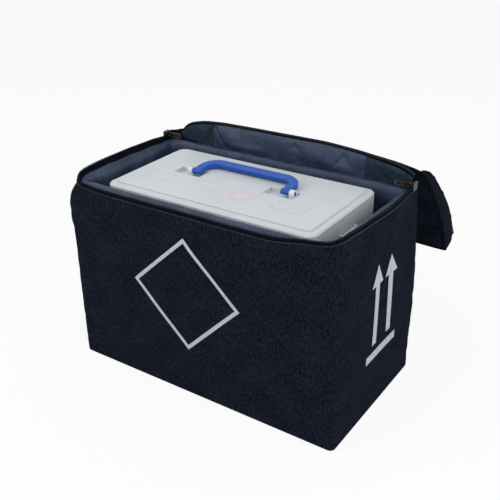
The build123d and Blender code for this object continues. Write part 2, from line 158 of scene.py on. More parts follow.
def light_or_show(tree, out_kind, lights, shows, share=1.0):
    """Mixes two shaders: the second is for rays from the camera, off something shiny or through it."""
    new, link = tree.nodes.new, tree.links.new
    rays = new("ShaderNodeLightPath")
    seen = rays.outputs["Is Camera Ray"]
    for kind in ("Is Glossy Ray", "Is Transmission Ray"):
        either = new("ShaderNodeMath")
        either.operation = "MAXIMUM"
        link(seen, either.inputs[0])
        link(rays.outputs[kind], either.inputs[1])
        seen = either.outputs[0]
    part = new("ShaderNodeMath")
    part.operation = "MULTIPLY"
    part.inputs[1].default_value = share
    mix = new("ShaderNodeMixShader")
    link(seen, part.inputs[0])
    for source, socket in ((part, 0), (lights, 1), (shows, 2)):
        link(source.outputs[0], mix.inputs[socket])
    link(mix.outputs[0], new(out_kind).inputs["Surface"])


print("two shaders are mixed by the kind of ray")

# %% Sky, floor and three soft lamps
SKY_STRENGTH, FLOOR_GLOW, WHITE = 0.52, 0.90, (1, 1, 1)
AIM = Vector((0, 0, 0.13))
LAMPS = {
    "lamp_front_left": ((-0.9, -1.2, 1.3), 1.2, 14.0),
    "lamp_above": ((0.1, 0.1, 1.7), 1.4, 4.0),
    "lamp_right": ((1.4, -0.4, 1.0), 1.2, 12.0),
}


def make_sky():
    world = bpy.context.scene.world = bpy.data.worlds.new("sky")
    tree = node_tree(world)
    light_or_show(tree, "ShaderNodeOutputWorld",
                  plain_shader(tree, "ShaderNodeBackground", (0.93, 0.96, 1.0), SKY_STRENGTH),
                  plain_shader(tree, "ShaderNodeBackground", WHITE, 1.0))


def make_floor():
    bpy.ops.mesh.primitive_plane_add(size=12, location=(0, 0, -0.0002))
    floor = bpy.context.object
    floor.name = "floor"
    material = bpy.data.materials.new("floor_paper")
    tree = node_tree(material)
    light_or_show(tree, "ShaderNodeOutputMaterial",
                  plain_shader(tree, "ShaderNodeBsdfDiffuse", (0.8, 0.8, 0.8)),
                  plain_shader(tree, "ShaderNodeEmission", WHITE, 1.0), FLOOR_GLOW)
    floor.data.materials.append(material)
    return floor


def make_lamps():
    made = []
    for name, (place, size, power) in LAMPS.items():
        data = bpy.data.lights.new(name, "AREA")
        data.size, data.energy = size, power
        lamp = bpy.data.objects.new(name, data)
        bpy.context.scene.collection.objects.link(lamp)
        lamp.location = place
        lamp.rotation_mode = "QUATERNION"
        lamp.rotation_quaternion = (AIM - Vector(place)).to_track_quat("-Z", "Y")
        made.append(lamp)
    return made


make_sky()
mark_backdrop(make_floor(), *make_lamps())
bpy.context.scene.view_settings.view_transform = "Standard"
print("lamps", len(LAMPS))

# %% [markdown]
# ## Rings round the bag
# Walls, lining, piping and zip all follow one rounded rectangle at different insets and heights.
# Each could have its own curve, but rings with matched stations always join into tidy quads.

# %% Stations round a rounded rectangle
REAR_STEPS, REAR_CORNER_STEPS, SIDE_STEPS, FRONT_CORNER_STEPS, FRONT_STEPS = 26, 5, 34, 10, 60


def outline(half_width, half_depth, front_radius, rear_radius):
    """Points from the rear's middle, over the right side, front and left side, back to the start."""
    w, d, f, r = half_width, half_depth, front_radius, rear_radius
    points = []

    def run(ax, ay, bx, by, steps):
        points.extend((ax + (bx - ax) * i / steps, ay + (by - ay) * i / steps) for i in range(steps))

    def bend(cx, cy, radius, start, steps):
        turns = (math.radians(start - 90 * i / steps) for i in range(steps))
        points.extend((cx + radius * math.cos(t), cy + radius * math.sin(t)) for t in turns)

    run(0, d, w - r, d, REAR_STEPS)
    bend(w - r, d - r, r, 90, REAR_CORNER_STEPS)
    run(w, d - r, w, f - d, SIDE_STEPS)
    bend(w - f, f - d, f, 0, FRONT_CORNER_STEPS)
    run(w - f, -d, f - w, -d, FRONT_STEPS)
    bend(f - w, f - d, f, -90, FRONT_CORNER_STEPS)
    run(-w, f - d, -w, d - r, SIDE_STEPS)
    bend(r - w, d - r, r, 180, REAR_CORNER_STEPS)
    run(r - w, d, 0, d, REAR_STEPS)
    return np.array(points)


print("stations", 2 * (REAR_STEPS + REAR_CORNER_STEPS + SIDE_STEPS + FRONT_CORNER_STEPS) + FRONT_STEPS)

# %% Rings of the bag


def at_height(xy, z):
    return np.column_stack((xy, np.full(len(xy), float(z))))


def corner_growth(rise):
    """The front corners stay tight for most of the height and open out near the rim."""
    return BASE_RADIUS + (FRONT_RADIUS - BASE_RADIUS) * rise ** 6


def bag_ring(inset, z):
    """The bag's own section at a height, drawn in by an inset."""
    t = min(max(z / WALL_TOP, 0), 1)
    half = HALF_WIDTH + (RIM_HALF - HALF_WIDTH) * t - inset
    rear = BASE_RADIUS + (REAR_RADIUS - BASE_RADIUS) * t - inset
    return at_height(outline(half, HALF_DEPTH - inset, max(corner_growth(t) - inset, 0.6), max(rear, 0.6)), z)


def arc_lengths(points, closed=True):
    """Distance along a run of points, with the way back to the start added when it is closed."""
    run = np.vstack((points, points[:1])) if closed else points
    return np.concatenate(([0], np.cumsum(np.linalg.norm(np.diff(run, axis=0), axis=1))))


RIM = bag_ring(0, WALL_TOP)
STATIONS = len(RIM)
RIM_LENGTH = arc_lengths(RIM)[-1]
print("rim length", round(RIM_LENGTH), "mm")

# %% [markdown]
# ## How the bag has settled
# Padded walls bow outwards, the front of the rim sags and the left side stays up. One could sculpt
# that, but a formula that moves points can be shared by cover, piping, zip and lining, so the layers
# stay on each other. It fades out at the zip sliders, which are rigid and need the tape in its place.

# %% The rim's ups and downs
FRONT_SAG, LEFT_RISE, RIGHT_RISE, RIGHT_HOLLOW = 6.6, 3.2, 3.6, 3.2


def smooth(value, low, high):
    t = np.clip((value - low) / (high - low), 0, 1)
    return t * t * (3 - 2 * t)


def hump(value, middle, width):
    return np.exp(-((value - middle) / width) ** 2)


def rim_drop(x, y):
    """How far the outer rim lies above or below its plain height."""
    front = smooth(-y, 62, 90) * (1 - smooth(x, 95, 145) - 0.5 * smooth(-x, 118, 165))
    left = smooth(-x, 140, 170) * np.clip(1 - ((y + 8) / 84) ** 2, 0, 1) ** 0.7
    right = smooth(x, 122, 168) * (RIGHT_RISE * hump(y, -72, 30) - RIGHT_HOLLOW * hump(y, 30, 38))
    return LEFT_RISE * left + right - FRONT_SAG * front


def roll_drop(x, y):
    """The same for the padded roll of the lining, which keeps its own height."""
    along = np.clip(1 - ((y + 4) / 92) ** 2, 0, 1)
    left, right = smooth(-x, 140, 162), smooth(x, 140, 162) * (0.8 * along + 1.8 * hump(y, -60, 30))
    return 1.2 * smooth(-y, 58, 80) - 5.4 * left * along ** 0.5 + right


print("front rim drops", round(float(rim_drop(np.array(0.0), np.array(-92.0))), 1), "mm")

# %% The settling of walls and rim
SLIDER_X, SLIDER_Y = 171, 83
INNER_FROM, INNER_TO = 4.2, 8.0
SHOULDER_Z, SHOULDER_IN, SHOULDER_BACK = 205, 4.6, 3.2


def settled(points):
    """Moves points of the bag's fixed soft pieces from their plain places to their settled ones."""
    p = np.array(points, float)
    x, y, z = p.T
    u, v = np.clip(x / HALF_WIDTH, -1, 1), np.clip(y / HALF_DEPTH, -1, 1)
    belly = np.sin(np.pi * np.clip(z / WALL_TOP, 0, 1) ** 1.15) ** 0.8
    calm = 1 - hump(np.abs(x), SLIDER_X, 16) * hump(y, SLIDER_Y, 17)
    front, rear = smooth(-y, 55, HALF_DEPTH), smooth(y, 55, HALF_DEPTH)
    left, right = smooth(-x, 130, RIM_HALF), smooth(x, 130, RIM_HALF)
    wave = 0.55 * np.sin(x / 27 + z / 39 + 0.6) + 0.35 * np.sin(x / 13 - z / 31 + 2.0)
    side_wave = 0.8 * np.sin(y / 15 + z / 70 + 0.9) + 0.4 * np.sin(y / 8.5 - z / 44 + 0.3)
    across, deep = (1 - np.abs(u) ** 3) * belly * calm, (1 - np.abs(v) ** 3) * belly * calm
    p[:, 1] += across * (rear * (2.0 + 0.5 * wave) - front * (1.2 + 0.8 * wave))
    p[:, 0] += deep * (right * (0.8 + 0.6 * side_wave) - left * (2.0 + 0.7 * side_wave))
    inner = smooth(np.minimum(RIM_HALF - np.abs(x), HALF_DEPTH - np.abs(y)), INNER_FROM, INNER_TO)
    top = smooth(z, 120, WALL_TOP - 4) * calm
    ripple = 0.22 * np.sin(x / 19 + y / 23) + 0.12 * np.sin(x / 7.3 - y / 8.1 + 1)
    drop = rim_drop(x, y) * (1 - inner) + roll_drop(x, y) * inner + ripple * (1 - np.abs(v) ** 8 * 0.3)
    p[:, 2] += drop * top
    rear_right = smooth(x, 120, RIM_HALF) * smooth(y, 10, 80)
    p[:, 0] += 3.2 * rear_right * np.sin(np.pi * np.clip((z - 20) / 190, 0, 1)) ** 1.3
    p[:, 0] -= 1.2 * left * (1 - v * v) * top * (1 - inner)
    shoulder = hump(z, SHOULDER_Z, 30) * smooth(-z, -WALL_TOP - 2, -WALL_TOP + 10)
    shoulder = shoulder * smooth(-x, 118, 172) * smooth(-y, 30, 90)
    p[:, 0] -= SHOULDER_IN * shoulder
    p[:, 1] -= SHOULDER_BACK * shoulder
    return p


low_front = np.array([[0.0, -HALF_DEPTH, WALL_TOP / 2]])
print("front wall bulges", round(float((low_front - settled(low_front))[0, 1]), 1), "mm")

# %% [markdown]
# ## Mesh helpers
# Cloth is built as grids of quads, because they bend and subdivide cleanly. A layer of coordinates
# holds the flat cut in metres, so weave, stitches and prints lie along the cloth and bend with it.
# An unwrapping tool could find such coordinates, but here they are known from the start.

# %% Meshes


def add_mesh(name, points, faces, flat=None):
    mesh = bpy.data.meshes.new(name)
    mesh.from_pydata([tuple(p) for p in np.asarray(points) * MM], [], faces)
    mesh.validate()
    if flat is not None:
        index = np.empty(len(mesh.loops), np.int32)
        mesh.loops.foreach_get("vertex_index", index)
        layer = mesh.uv_layers.new(name="flat")
        layer.data.foreach_set("uv", (np.asarray(flat)[index] * MM).astype(np.float32).ravel())
    mesh.polygons.foreach_set("use_smooth", [True] * len(mesh.polygons))
    obj = bpy.data.objects.new(name, mesh)
    bpy.context.scene.collection.objects.link(obj)
    return obj


def grid_faces(rows, columns, closed):
    faces = []
    for r in range(rows - 1):
        for c in range(columns if closed else columns - 1):
            n = (c + 1) % columns
            faces.append((r * columns + c, r * columns + n, (r + 1) * columns + n, (r + 1) * columns + c))
    return faces


print("a grid of 3 by 3 points has", len(grid_faces(3, 3, False)), "faces")

# %% Grids of cloth


def add_grid(name, rings, closed=False, cap=False):
    """A sheet through rings of matched points. A cap closes the last ring by rungs, like a ladder."""
    rings = np.asarray(rings, float)
    rows, columns = rings.shape[:2]
    along = arc_lengths(rings[rows // 2], closed)[:columns]
    down = np.concatenate(([0], np.cumsum(np.linalg.norm(np.diff(rings, axis=0), axis=2).mean(1))))
    faces = grid_faces(rows, columns, closed)
    if cap:
        last = (rows - 1) * columns
        for i in range(columns // 2):
            rung = (i, i + 1, (columns - i - 1) % columns, (columns - i) % columns)
            faces.append(tuple(dict.fromkeys(last + k for k in rung)))
    return add_mesh(name, rings.reshape(-1, 3), faces, np.stack(np.meshgrid(along, down), -1).reshape(-1, 2))


def area_of(obj):
    """The cloth's area in square metres."""
    return sum(face.area for face in obj.data.polygons)


print("grids are ready")

# %% Thickness
COVER_THICK, LINING_THICK, BAND_THICK, TAPE_THICK, STRAP_THICK = 0.6, 0.5, 0.7, 0.8, 2.0


def add_modifier(obj, kind, **settings):
    modifier = obj.modifiers.new(kind.lower(), kind)
    for key, value in settings.items():
        setattr(modifier, key, value)


def thicken(obj, thickness, offset=-1.0, rounded=True):
    """Gives a sheet its thickness and, unless told not to, one round of subdivision."""
    add_modifier(obj, "SOLIDIFY", thickness=thickness * MM, offset=offset, use_rim=True)
    if rounded:
        add_modifier(obj, "SUBSURF", levels=1, render_levels=1)


print("the cover is", COVER_THICK, "mm thick")

# %% Tubes


def add_tube(name, path, radius, sides):
    ahead = np.gradient(path, axis=0)
    ahead /= np.linalg.norm(ahead, axis=1)[:, None]
    side = np.cross(ahead, (0.0, 0.0, 1.0))
    side /= np.linalg.norm(side, axis=1)[:, None]
    turns = np.linspace(0, 2 * np.pi, sides, endpoint=False)
    rings = [[p + radius * (math.cos(t) * s + math.sin(t) * u) for t in turns]
             for p, s, u in zip(path, side, np.cross(side, ahead))]
    return add_grid(name, rings, closed=True)


print("tubes are ready")

# %% Many small copies


def resample(path, gap):
    """Evenly spaced points along a path, with their directions."""
    far = arc_lengths(path, closed=False)
    spots = np.arange(gap / 2, far[-1], gap)
    points = np.column_stack([np.interp(spots, far, path[:, k]) for k in range(3)])
    ahead = np.gradient(points, axis=0)
    return points, ahead / np.linalg.norm(ahead, axis=1)[:, None]


def add_copies(name, shape, shape_faces, places):
    """One mesh of many small copies. A place is a point and three directions."""
    points = np.vstack([at + shape[:, :1] * a + shape[:, 1:2] * b + shape[:, 2:3] * c
                        for at, a, b, c in places])
    faces = [tuple(i * len(shape) + k for k in face) for i in range(len(places)) for face in shape_faces]
    return add_mesh(name, points, faces)


print("copies are ready")

# %% Stitches


def add_stitches(name, path, gap=3.4, length=2.3, width=0.42):
    """Pill-shaped thread stitches along a path on a wall. They face away from the bag's middle."""
    rings = [[(x * length, size * width / 2 * math.cos(t), size * width / 2 * math.sin(t))
              for t in np.linspace(0, 2 * np.pi, 6, endpoint=False)]
             for x, size in ((-0.5, 0.35), (-0.38, 0.9), (0, 1.0), (0.38, 0.9), (0.5, 0.35))]
    faces = grid_faces(5, 6, True) + [tuple(range(5, -1, -1)), tuple(range(24, 30))]
    points, ahead = resample(path, gap)
    outward = points * (0.5, 1, 0)
    outward /= np.linalg.norm(outward, axis=1)[:, None]
    places = []
    for p, a, o in zip(points, ahead, outward):
        b = np.cross(o, a)
        b /= np.linalg.norm(b)
        places.append((p, a, b, np.cross(a, b)))
    return add_copies(name, np.array(rings).reshape(-1, 3), faces, places)


print("stitches are ready")

# %% [markdown]
# ## Node sums that read as sums
# Weaves and prints are drawn by sums and products of coordinates, and in Blender each of those is a
# node. Joining dozens by hand is hard to follow. A picture file would be another way, but a drawn
# pattern stays sharp. So one class stands for a node's output and takes the usual signs.

# %% Node outputs as numbers


class Value:
    """An output of a node, which can be added, subtracted and multiplied like a number."""

    def __init__(self, paint, socket):
        self.paint, self.socket = paint, socket

    def __abs__(self):
        return self.paint.math("ABSOLUTE", self)


for sign, operation in (("add", "ADD"), ("sub", "SUBTRACT"), ("mul", "MULTIPLY")):
    setattr(Value, f"__{sign}__", lambda a, b, kind=operation: a.paint.math(kind, a, b))
    setattr(Value, f"__r{sign}__", lambda a, b, kind=operation: a.paint.math(kind, b, a))
print("values take the signs + - *")

# %% Materials as short calls


class Paint:
    """A material and short ways to add and join its nodes."""

    def __init__(self, name):
        self.material = bpy.data.materials.new(name)
        self.tree = node_tree(self.material)
        self.shader = self.add("ShaderNodeBsdfPrincipled")
        self.tree.links.new(self.shader.outputs[0], self.add("ShaderNodeOutputMaterial").inputs["Surface"])

    def add(self, kind, *values, **settings):
        node = self.tree.nodes.new(kind)
        for key, value in settings.items():
            setattr(node, key, value)
        for socket, value in zip(node.inputs, values):
            self.feed(socket, value)
        return node

    def feed(self, socket, value):
        if isinstance(value, Value):
            self.tree.links.new(value.socket, socket)
        else:
            socket.default_value = value

    def out(self, node, which=0):
        return Value(self, node.outputs[which])

    def math(self, operation, *values):
        return self.out(self.add("ShaderNodeMath", *values, operation=operation))

    def split(self, vector):
        node = self.add("ShaderNodeSeparateXYZ", vector)
        return self.out(node, 0), self.out(node, 1)

    def noise(self, vector, scale, detail=2.0, rough=0.5, stretch=None):
        if stretch:
            mapping = self.add("ShaderNodeMapping", vector)
            mapping.inputs["Scale"].default_value = stretch
            vector = self.out(mapping)
        node = self.add("ShaderNodeTexNoise")
        for key, value in (("Vector", vector), ("Scale", scale), ("Detail", detail), ("Roughness", rough)):
            self.feed(node.inputs[key], value)
        return self.out(node)

    def ramp(self, value, low, high, to_low=0.0, to_high=1.0):
        return self.out(self.add("ShaderNodeMapRange", value, low, high, to_low, to_high,
                                 interpolation_type="SMOOTHSTEP"))

    def mix(self, share, a, b):
        node = self.add("ShaderNodeMix", data_type="RGBA")
        self.feed(node.inputs["Factor"], share)
        for socket, colour in ((node.inputs[6], a), (node.inputs[7], b)):
            self.feed(socket, (*colour, 1.0) if isinstance(colour, tuple) else colour)
        return self.out(node, 2)

    def bump(self, height, distance, strength, under=None):
        node = self.add("ShaderNodeBump")
        node.inputs["Strength"].default_value = strength
        node.inputs["Distance"].default_value = distance * MM
        self.feed(node.inputs["Height"], height)
        if under is not None:
            self.feed(node.inputs["Normal"], under)
        return self.out(node)

    def done(self, **values):
        """Feeds the main shader and gives the material."""
        for key, value in values.items():
            self.feed(self.shader.inputs[key.replace("_", " ")], value)
        return self.material


print("materials have short calls")

# %% [markdown]
# ## Cloth
# The bag's weave is coarse, with single pale threads, and the lining is smooth and shinier. Real
# threads as meshes would be far too many. Two crossing sine waves at the true pitch give the bump, and
# wide and fine noise vary the colour as dye, dust and wear do. On the lining the same noise runs to a
# much paler tone and paints satin sheen streaks.

# %% A woven cloth


def weave_height(paint, uv, pitch, ratio, rib):
    """Crossing threads of a plain weave, or the ribs of a strap, at a real pitch in millimetres."""
    u, v = paint.split(uv)
    rate = 2 * math.pi / (pitch * MM)
    across, down = paint.math("SINE", u * rate), paint.math("SINE", v * (rate * ratio))
    return across + down * 0.35 if rib else across * down


def fabric(name, colour, pale, pitch, depth, roughness, sheen=0.0, rib=False, ratio=1.0, prints=None,
           patchy=0.5, flecks=0.5, shine=0.12):
    """A woven cloth. Its colour runs between two tones with dye, wear and single slubbed threads; on the
    lining the paler tone is painted satin sheen.
    """
    paint = Paint(name)
    uv = paint.out(paint.add("ShaderNodeTexCoord"), "UV")
    height = weave_height(paint, uv, pitch, ratio, rib)
    cloud = paint.noise(uv, 28, 4.0, 0.62)
    slub_and_sheen = paint.noise(uv, 420, 3.0, 0.62, stretch=(1.0, 0.42, 1.0))
    share = paint.ramp(cloud * patchy + slub_and_sheen * (1 - patchy), 0.33, 0.69)
    fleck = paint.ramp(paint.noise(uv, 640, 2.0, 0.7), 0.48, 0.66, -0.25 * flecks, flecks)
    tone = paint.mix(height * 0.22 + (share + fleck), colour, pale)
    rough = paint.ramp(slub_and_sheen, 0.3, 0.7, roughness - 0.06, min(roughness + 0.08, 1.0))
    normal = paint.bump(height, depth, 0.7, paint.bump(cloud, 1.1, 0.35))
    if prints:
        tone = prints(paint, paint.out(paint.add("ShaderNodeUVMap", uv_map="prints")), tone, slub_and_sheen)
    return paint.done(Base_Color=tone, Roughness=rough, Normal=normal, Sheen_Weight=sheen,
                      Sheen_Roughness=0.45, Specular_IOR_Level=shine)


print("cloth is drawn by its weave")

# %% [markdown]
# ## Where the walls lie on the unrolled cloth
# The prints have true sizes, but the walls taper and the corners are round. An even unrolling would
# stretch them. So each flat side keeps its own distances, and only the corners take up the rest.

# %% The unrolled walls
seam = arc_lengths(RIM)
right_start = REAR_STEPS + REAR_CORNER_STEPS
front_start = right_start + SIDE_STEPS + FRONT_CORNER_STEPS
left_start = front_start + FRONT_STEPS + FRONT_CORNER_STEPS
FRONT_MIDDLE_U = seam[front_start] + (RIM_HALF - FRONT_RADIUS)
RIGHT_MIDDLE_U = seam[right_start] + (HALF_DEPTH - REAR_RADIUS)
LEFT_MIDDLE_U = RIM_LENGTH - RIGHT_MIDDLE_U


def flat_across(ring):
    """Where each station of a ring lies on the unrolled cloth: true distances on the flat sides."""
    known = {}
    for first, last, rule in ((0, REAR_STEPS, lambda p: p[0]),
                              (right_start, right_start + SIDE_STEPS, lambda p: RIGHT_MIDDLE_U - p[1]),
                              (front_start, front_start + FRONT_STEPS, lambda p: FRONT_MIDDLE_U - p[0]),
                              (left_start, left_start + SIDE_STEPS, lambda p: LEFT_MIDDLE_U + p[1]),
                              (STATIONS - REAR_STEPS, STATIONS - 1, lambda p: RIM_LENGTH + p[0])):
        known.update({i: rule(ring[i]) for i in range(first, last + 1)})
    spots = sorted(known)
    return np.interp(np.arange(STATIONS), spots, [known[i] for i in spots])


print("front middle at", round(FRONT_MIDDLE_U), "mm round the rim, right middle at", round(RIGHT_MIDDLE_U))

# %% [markdown]
# ## The prints on the cover
# The front carries an empty diamond outline and the right side two upright arrows over a bar. They
# are ink on cloth. Thin plates in front would catch the light and float. As masks in the cover's own
# material, the weave runs through them and worn specks show the cloth.

# %% Print masks
DIAMOND_X, DIAMOND_Z, DIAMOND_REACH, DIAMOND_LINE = -6.0, 135.5, 72.0, 6.0
ARROW_TIPS, ARROW_LEANS = (-6.0, 25.8), (0.055, 0.03)
ARROW_TOP, ARROW_HEAD_Z, ARROW_FOOT_Z = 183.0, 159.5, 88.5
ARROW_HEAD_HALF, ARROW_SHAFT_HALF = 13.2, 4.8
BAR_Y, BAR_Z = (-28.0, 41.0), (70.0, 79.5)
INK_PALE = (0.58, 0.61, 0.66)


def inside(value, low, high, soft=0.25):
    """1 between two limits in millimetres and 0 outside, with a thin soft edge."""
    ramp = value.paint.ramp
    return (ramp(value, (low - soft) * MM, (low + soft) * MM)
            * ramp(value, (high - soft) * MM, (high + soft) * MM, 1.0, 0.0))


def larger(a, b):
    return a.paint.math("MAXIMUM", a, b)


def printed(paint, uv, tone, slub_and_sheen):
    u, z = paint.split(uv)
    x, y = FRONT_MIDDLE_U * MM - u, RIGHT_MIDDLE_U * MM - u
    reach = abs(x - DIAMOND_X * MM) + abs(z - DIAMOND_Z * MM)
    ink = larger(inside(reach, DIAMOND_REACH - DIAMOND_LINE, DIAMOND_REACH),
                 inside(y, *BAR_Y) * inside(z, *BAR_Z))
    below = ARROW_TOP * MM - z
    slope = ARROW_HEAD_HALF / (ARROW_TOP - ARROW_HEAD_Z)
    for tip, lean in zip(ARROW_TIPS, ARROW_LEANS):
        off = abs(y + below * lean - tip * MM)
        head = inside(off - below * slope, -99, 0) * inside(z, ARROW_HEAD_Z, ARROW_TOP)
        shaft = inside(off, -9, ARROW_SHAFT_HALF) * inside(z, ARROW_FOOT_Z, ARROW_HEAD_Z + 1)
        ink = larger(ink, larger(head, shaft))
    return paint.mix(ink * paint.ramp(slub_and_sheen, 0.30, 0.44, 0.55, 1.0), tone, INK_PALE)


print("arrows:", len(ARROW_TIPS))

# %% [markdown]
# ## Faint marks on the box lid
# The lid shows three framed panels and a pale ring, printed long ago and half rubbed off. They are
# masks again, this time from the lid's own coordinates, because they never leave its flat top.

# %% Worn panels and a ring
MARK_PLACES = ((-93.0, -25.0), (-27.0, -21.0), (82.0, -25.0))
MARK_HALF, MARK_LINE = (20.0, 11.0), 2.4
RING_PLACE, RING_RADIUS, RING_LINE = (22.0, -26.0), 13.5, 5.0
MARK_GREY, RING_RED = (0.40, 0.44, 0.47), (0.78, 0.42, 0.42)


def lid_marks(paint, where, tone):
    x, y = paint.split(where)
    ink = None
    for at_x, at_y in MARK_PLACES:
        reach = larger(abs(x - at_x * MM) - MARK_HALF[0] * MM, abs(y - at_y * MM) - MARK_HALF[1] * MM)
        panel = inside(reach, -MARK_LINE, 0)
        ink = larger(panel, ink) if ink else panel
    dx, dy = x - RING_PLACE[0] * MM, y - RING_PLACE[1] * MM
    ring = inside(paint.math("SQRT", dx * dx + dy * dy), RING_RADIUS - RING_LINE, RING_RADIUS)
    worn = paint.ramp(paint.noise(where, 260, 3.0), 0.35, 0.65)
    tone = paint.mix(ink * (worn * 0.70), tone, MARK_GREY)
    return paint.mix(ring * (worn * 0.80), tone, RING_RED)


print("framed panels:", len(MARK_PLACES))

# %% [markdown]
# ## Plastic and metal
# Moulded plastic is never one flat colour: it has a fine grain, clouds a little and pales where edges
# rub. Cast metal stains and wears bright on its edges. Painted pictures could show that, but noise
# and the shape's own pointiness put wear where it belongs, with no picture files.

# %% Hard finishes


def lighter(colour, times, plus):
    return tuple(min(c * times + plus, 1.0) for c in colour)


def hard_start(name):
    """A paint with its coordinates and its pointiness."""
    paint = Paint(name)
    return (paint, paint.out(paint.add("ShaderNodeTexCoord"), "Object"),
            paint.out(paint.add("ShaderNodeNewGeometry"), "Pointiness"))


def plastic(name, colour, roughness, grain, grain_depth, coat=0.0, marks=None, shine=0.3):
    paint, where, pointy = hard_start(name)
    cloud = paint.noise(where, 9, 3.0)
    tone = paint.mix(paint.ramp(cloud, 0.35, 0.65), lighter(colour, 0.93, 0), colour)
    tone = paint.mix(paint.ramp(pointy, 0.53, 0.60, 0.0, 0.30), tone, lighter(colour, 1.15, 0.01))
    if marks:
        tone = marks(paint, where, tone)
    rough = paint.ramp(cloud, 0.3, 0.7, roughness - 0.04, roughness + 0.05)
    return paint.done(Base_Color=tone, Roughness=rough, Coat_Weight=coat, Coat_Roughness=0.2,
                      Normal=paint.bump(paint.noise(where, grain), grain_depth, 0.5),
                      Specular_IOR_Level=shine)


def metal(name, colour, roughness, tarnish):
    paint, where, pointy = hard_start(name)
    stain = paint.noise(where, 420, 4.0, 0.6)
    tone = paint.mix(paint.ramp(stain, 0.4, 0.62), colour, tarnish)
    tone = paint.mix(paint.ramp(pointy, 0.52, 0.62, 0.0, 0.7), tone, lighter(colour, 1.8, 0.05))
    rough = paint.ramp(stain, 0.3, 0.7, roughness, roughness + 0.15)
    return paint.done(Base_Color=tone, Metallic=1.0, Roughness=rough, Normal=paint.bump(stain, 0.05, 0.4))


print("hard finishes are ready")

# %% [markdown]
# ## The finishes
# Each piece gets its own finish: colours were judged beside the photograph under these lamps, and
# pitches are those of such cloths. A few shared finishes would be less work, but then cover, tape and
# piping couldn't be told apart.

# %% Cloths
NAVY = (0.0034, 0.0047, 0.0093), (0.0185, 0.0232, 0.0385)
COVER_LOOK = {"patchy": 0.30, "flecks": 0.9, "shine": 0.02}
COVER = fabric("cover_weave", *NAVY, 1.1, 0.34, 0.90, prints=printed, **COVER_LOOK)
COVER_PLAIN = fabric("cover_weave_plain", *NAVY, 1.1, 0.34, 0.90, **COVER_LOOK)
# The lining's paler tone and its wide patches are painted satin sheen streaks over its dye.
LINING = fabric("lining_satin", (0.0050, 0.0135, 0.0345), (0.0420, 0.0640, 0.1200), 0.6, 0.06, 0.38,
                patchy=0.6, flecks=0.35, shine=0.30)
PATCH = fabric("patch_weave", (0.0075, 0.0165, 0.0280), (0.0280, 0.0480, 0.0720), 1.5, 0.30, 0.62, ratio=1.6)
TAPE = fabric("tape_weave", (0.0020, 0.0034, 0.0060), (0.0075, 0.0105, 0.0160), 1.1, 0.20, 0.82, rib=True,
              shine=0.04)
PIPING = fabric("piping_satin", (0.0070, 0.0095, 0.0165), (0.0210, 0.0260, 0.0400), 0.7, 0.08, 0.45,
                patchy=0.7)
RIDGE_PIPING = fabric("ridge_piping", (0.0028, 0.0038, 0.0070), (0.0100, 0.0125, 0.0200), 0.8, 0.12, 0.55)
WEBBING = fabric("webbing_ribs", (0.0060, 0.0075, 0.0120), (0.0170, 0.0195, 0.0290), 1.6, 0.35, 0.70, 0.06,
                 rib=True, ratio=0.5)
PAD = fabric("pad_knit", (0.16, 0.16, 0.17), (0.30, 0.30, 0.32), 1.2, 0.20, 0.90, 0.10, shine=0.16)
THREAD = fabric("thread", (0.010, 0.013, 0.022), (0.026, 0.031, 0.047), 0.4, 0.05, 0.60, shine=0.10)
print("cloths", len([m for m in bpy.data.materials if m.node_tree]))

# %% Plastics and metals
COIL = plastic("coil_nylon", (0.0035, 0.0050, 0.0085), 0.50, 900, 0.02, shine=0.10)
BOARD = plastic("board_sheet", (0.10, 0.10, 0.11), 0.60, 500, 0.04)
BOX_WHITE = plastic("box_white", (0.575, 0.60, 0.615), 0.42, 1500, 0.03)
BOX_LID_WHITE = plastic("box_lid_white", (0.575, 0.60, 0.615), 0.42, 1500, 0.03, marks=lid_marks)
LATCH_WHITE = plastic("latch_white", (0.53, 0.56, 0.58), 0.45, 1500, 0.03)
CLIP_WHITE = plastic("clip_white", (0.60, 0.63, 0.66), 0.32, 1200, 0.02, coat=0.1)
HANDLE_BLUE = plastic("handle_blue", (0.009, 0.072, 0.36), 0.34, 1400, 0.02, shine=0.22)
GASKET = plastic("gasket_grey", (0.16, 0.17, 0.18), 0.65, 900, 0.03)
SLIDER_METAL = metal("slider_brass", (0.030, 0.028, 0.024), 0.40, (0.010, 0.010, 0.009))
PULL_METAL = metal("pull_brass", (0.050, 0.046, 0.036), 0.38, (0.018, 0.017, 0.014))
STEEL = metal("pin_steel", (0.16, 0.165, 0.18), 0.35, (0.08, 0.082, 0.09))
print("materials", len(bpy.data.materials))

# %% [markdown]
# ## Finishing a piece
# Each soft piece rides on a CAD body, so that it moves with the joints, and the plain solids that it
# replaces are hidden.

# %% Finish a piece


def finish_piece(obj, body, material, slot=None, replaces=()):
    obj.data.materials.clear()
    obj.data.materials.append(material)
    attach(obj, body)
    if replaces:
        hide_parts(*replaces)


def finish_sheet(obj, body, material, slot, replaces, size, area=None):
    """The same for a sheet. Its cloth can't be larger than its flat cut. Its flat cut
    and area are not used.
    """
    finish_piece(obj, body, material, slot, replaces)
    area or min(area_of(obj), 0.999 * size[0] * size[1])


print("pieces can be finished")

# %% [markdown]
# ## Cloth that is really simulated
# Formulas give even bulges, but cloth between seams makes its own soft hollows and creases. Sculpting
# them is slow and can't be repeated. So a few pieces are run as cloth for some frames, held by pins at
# their seams and pushed out by their pads. The movement is capped, so no layer leaves its neighbour.

# %% Simulated cloth
CLOTH_FRAMES = 18
CLOTH = {"quality": 6, "mass": 0.3, "tension_stiffness": 18.0, "compression_stiffness": 18.0,
         "shear_stiffness": 9.0, "bending_stiffness": 1.2, "vertex_group_mass": "pins", "use_pressure": True,
         "shrink_min": -0.006}


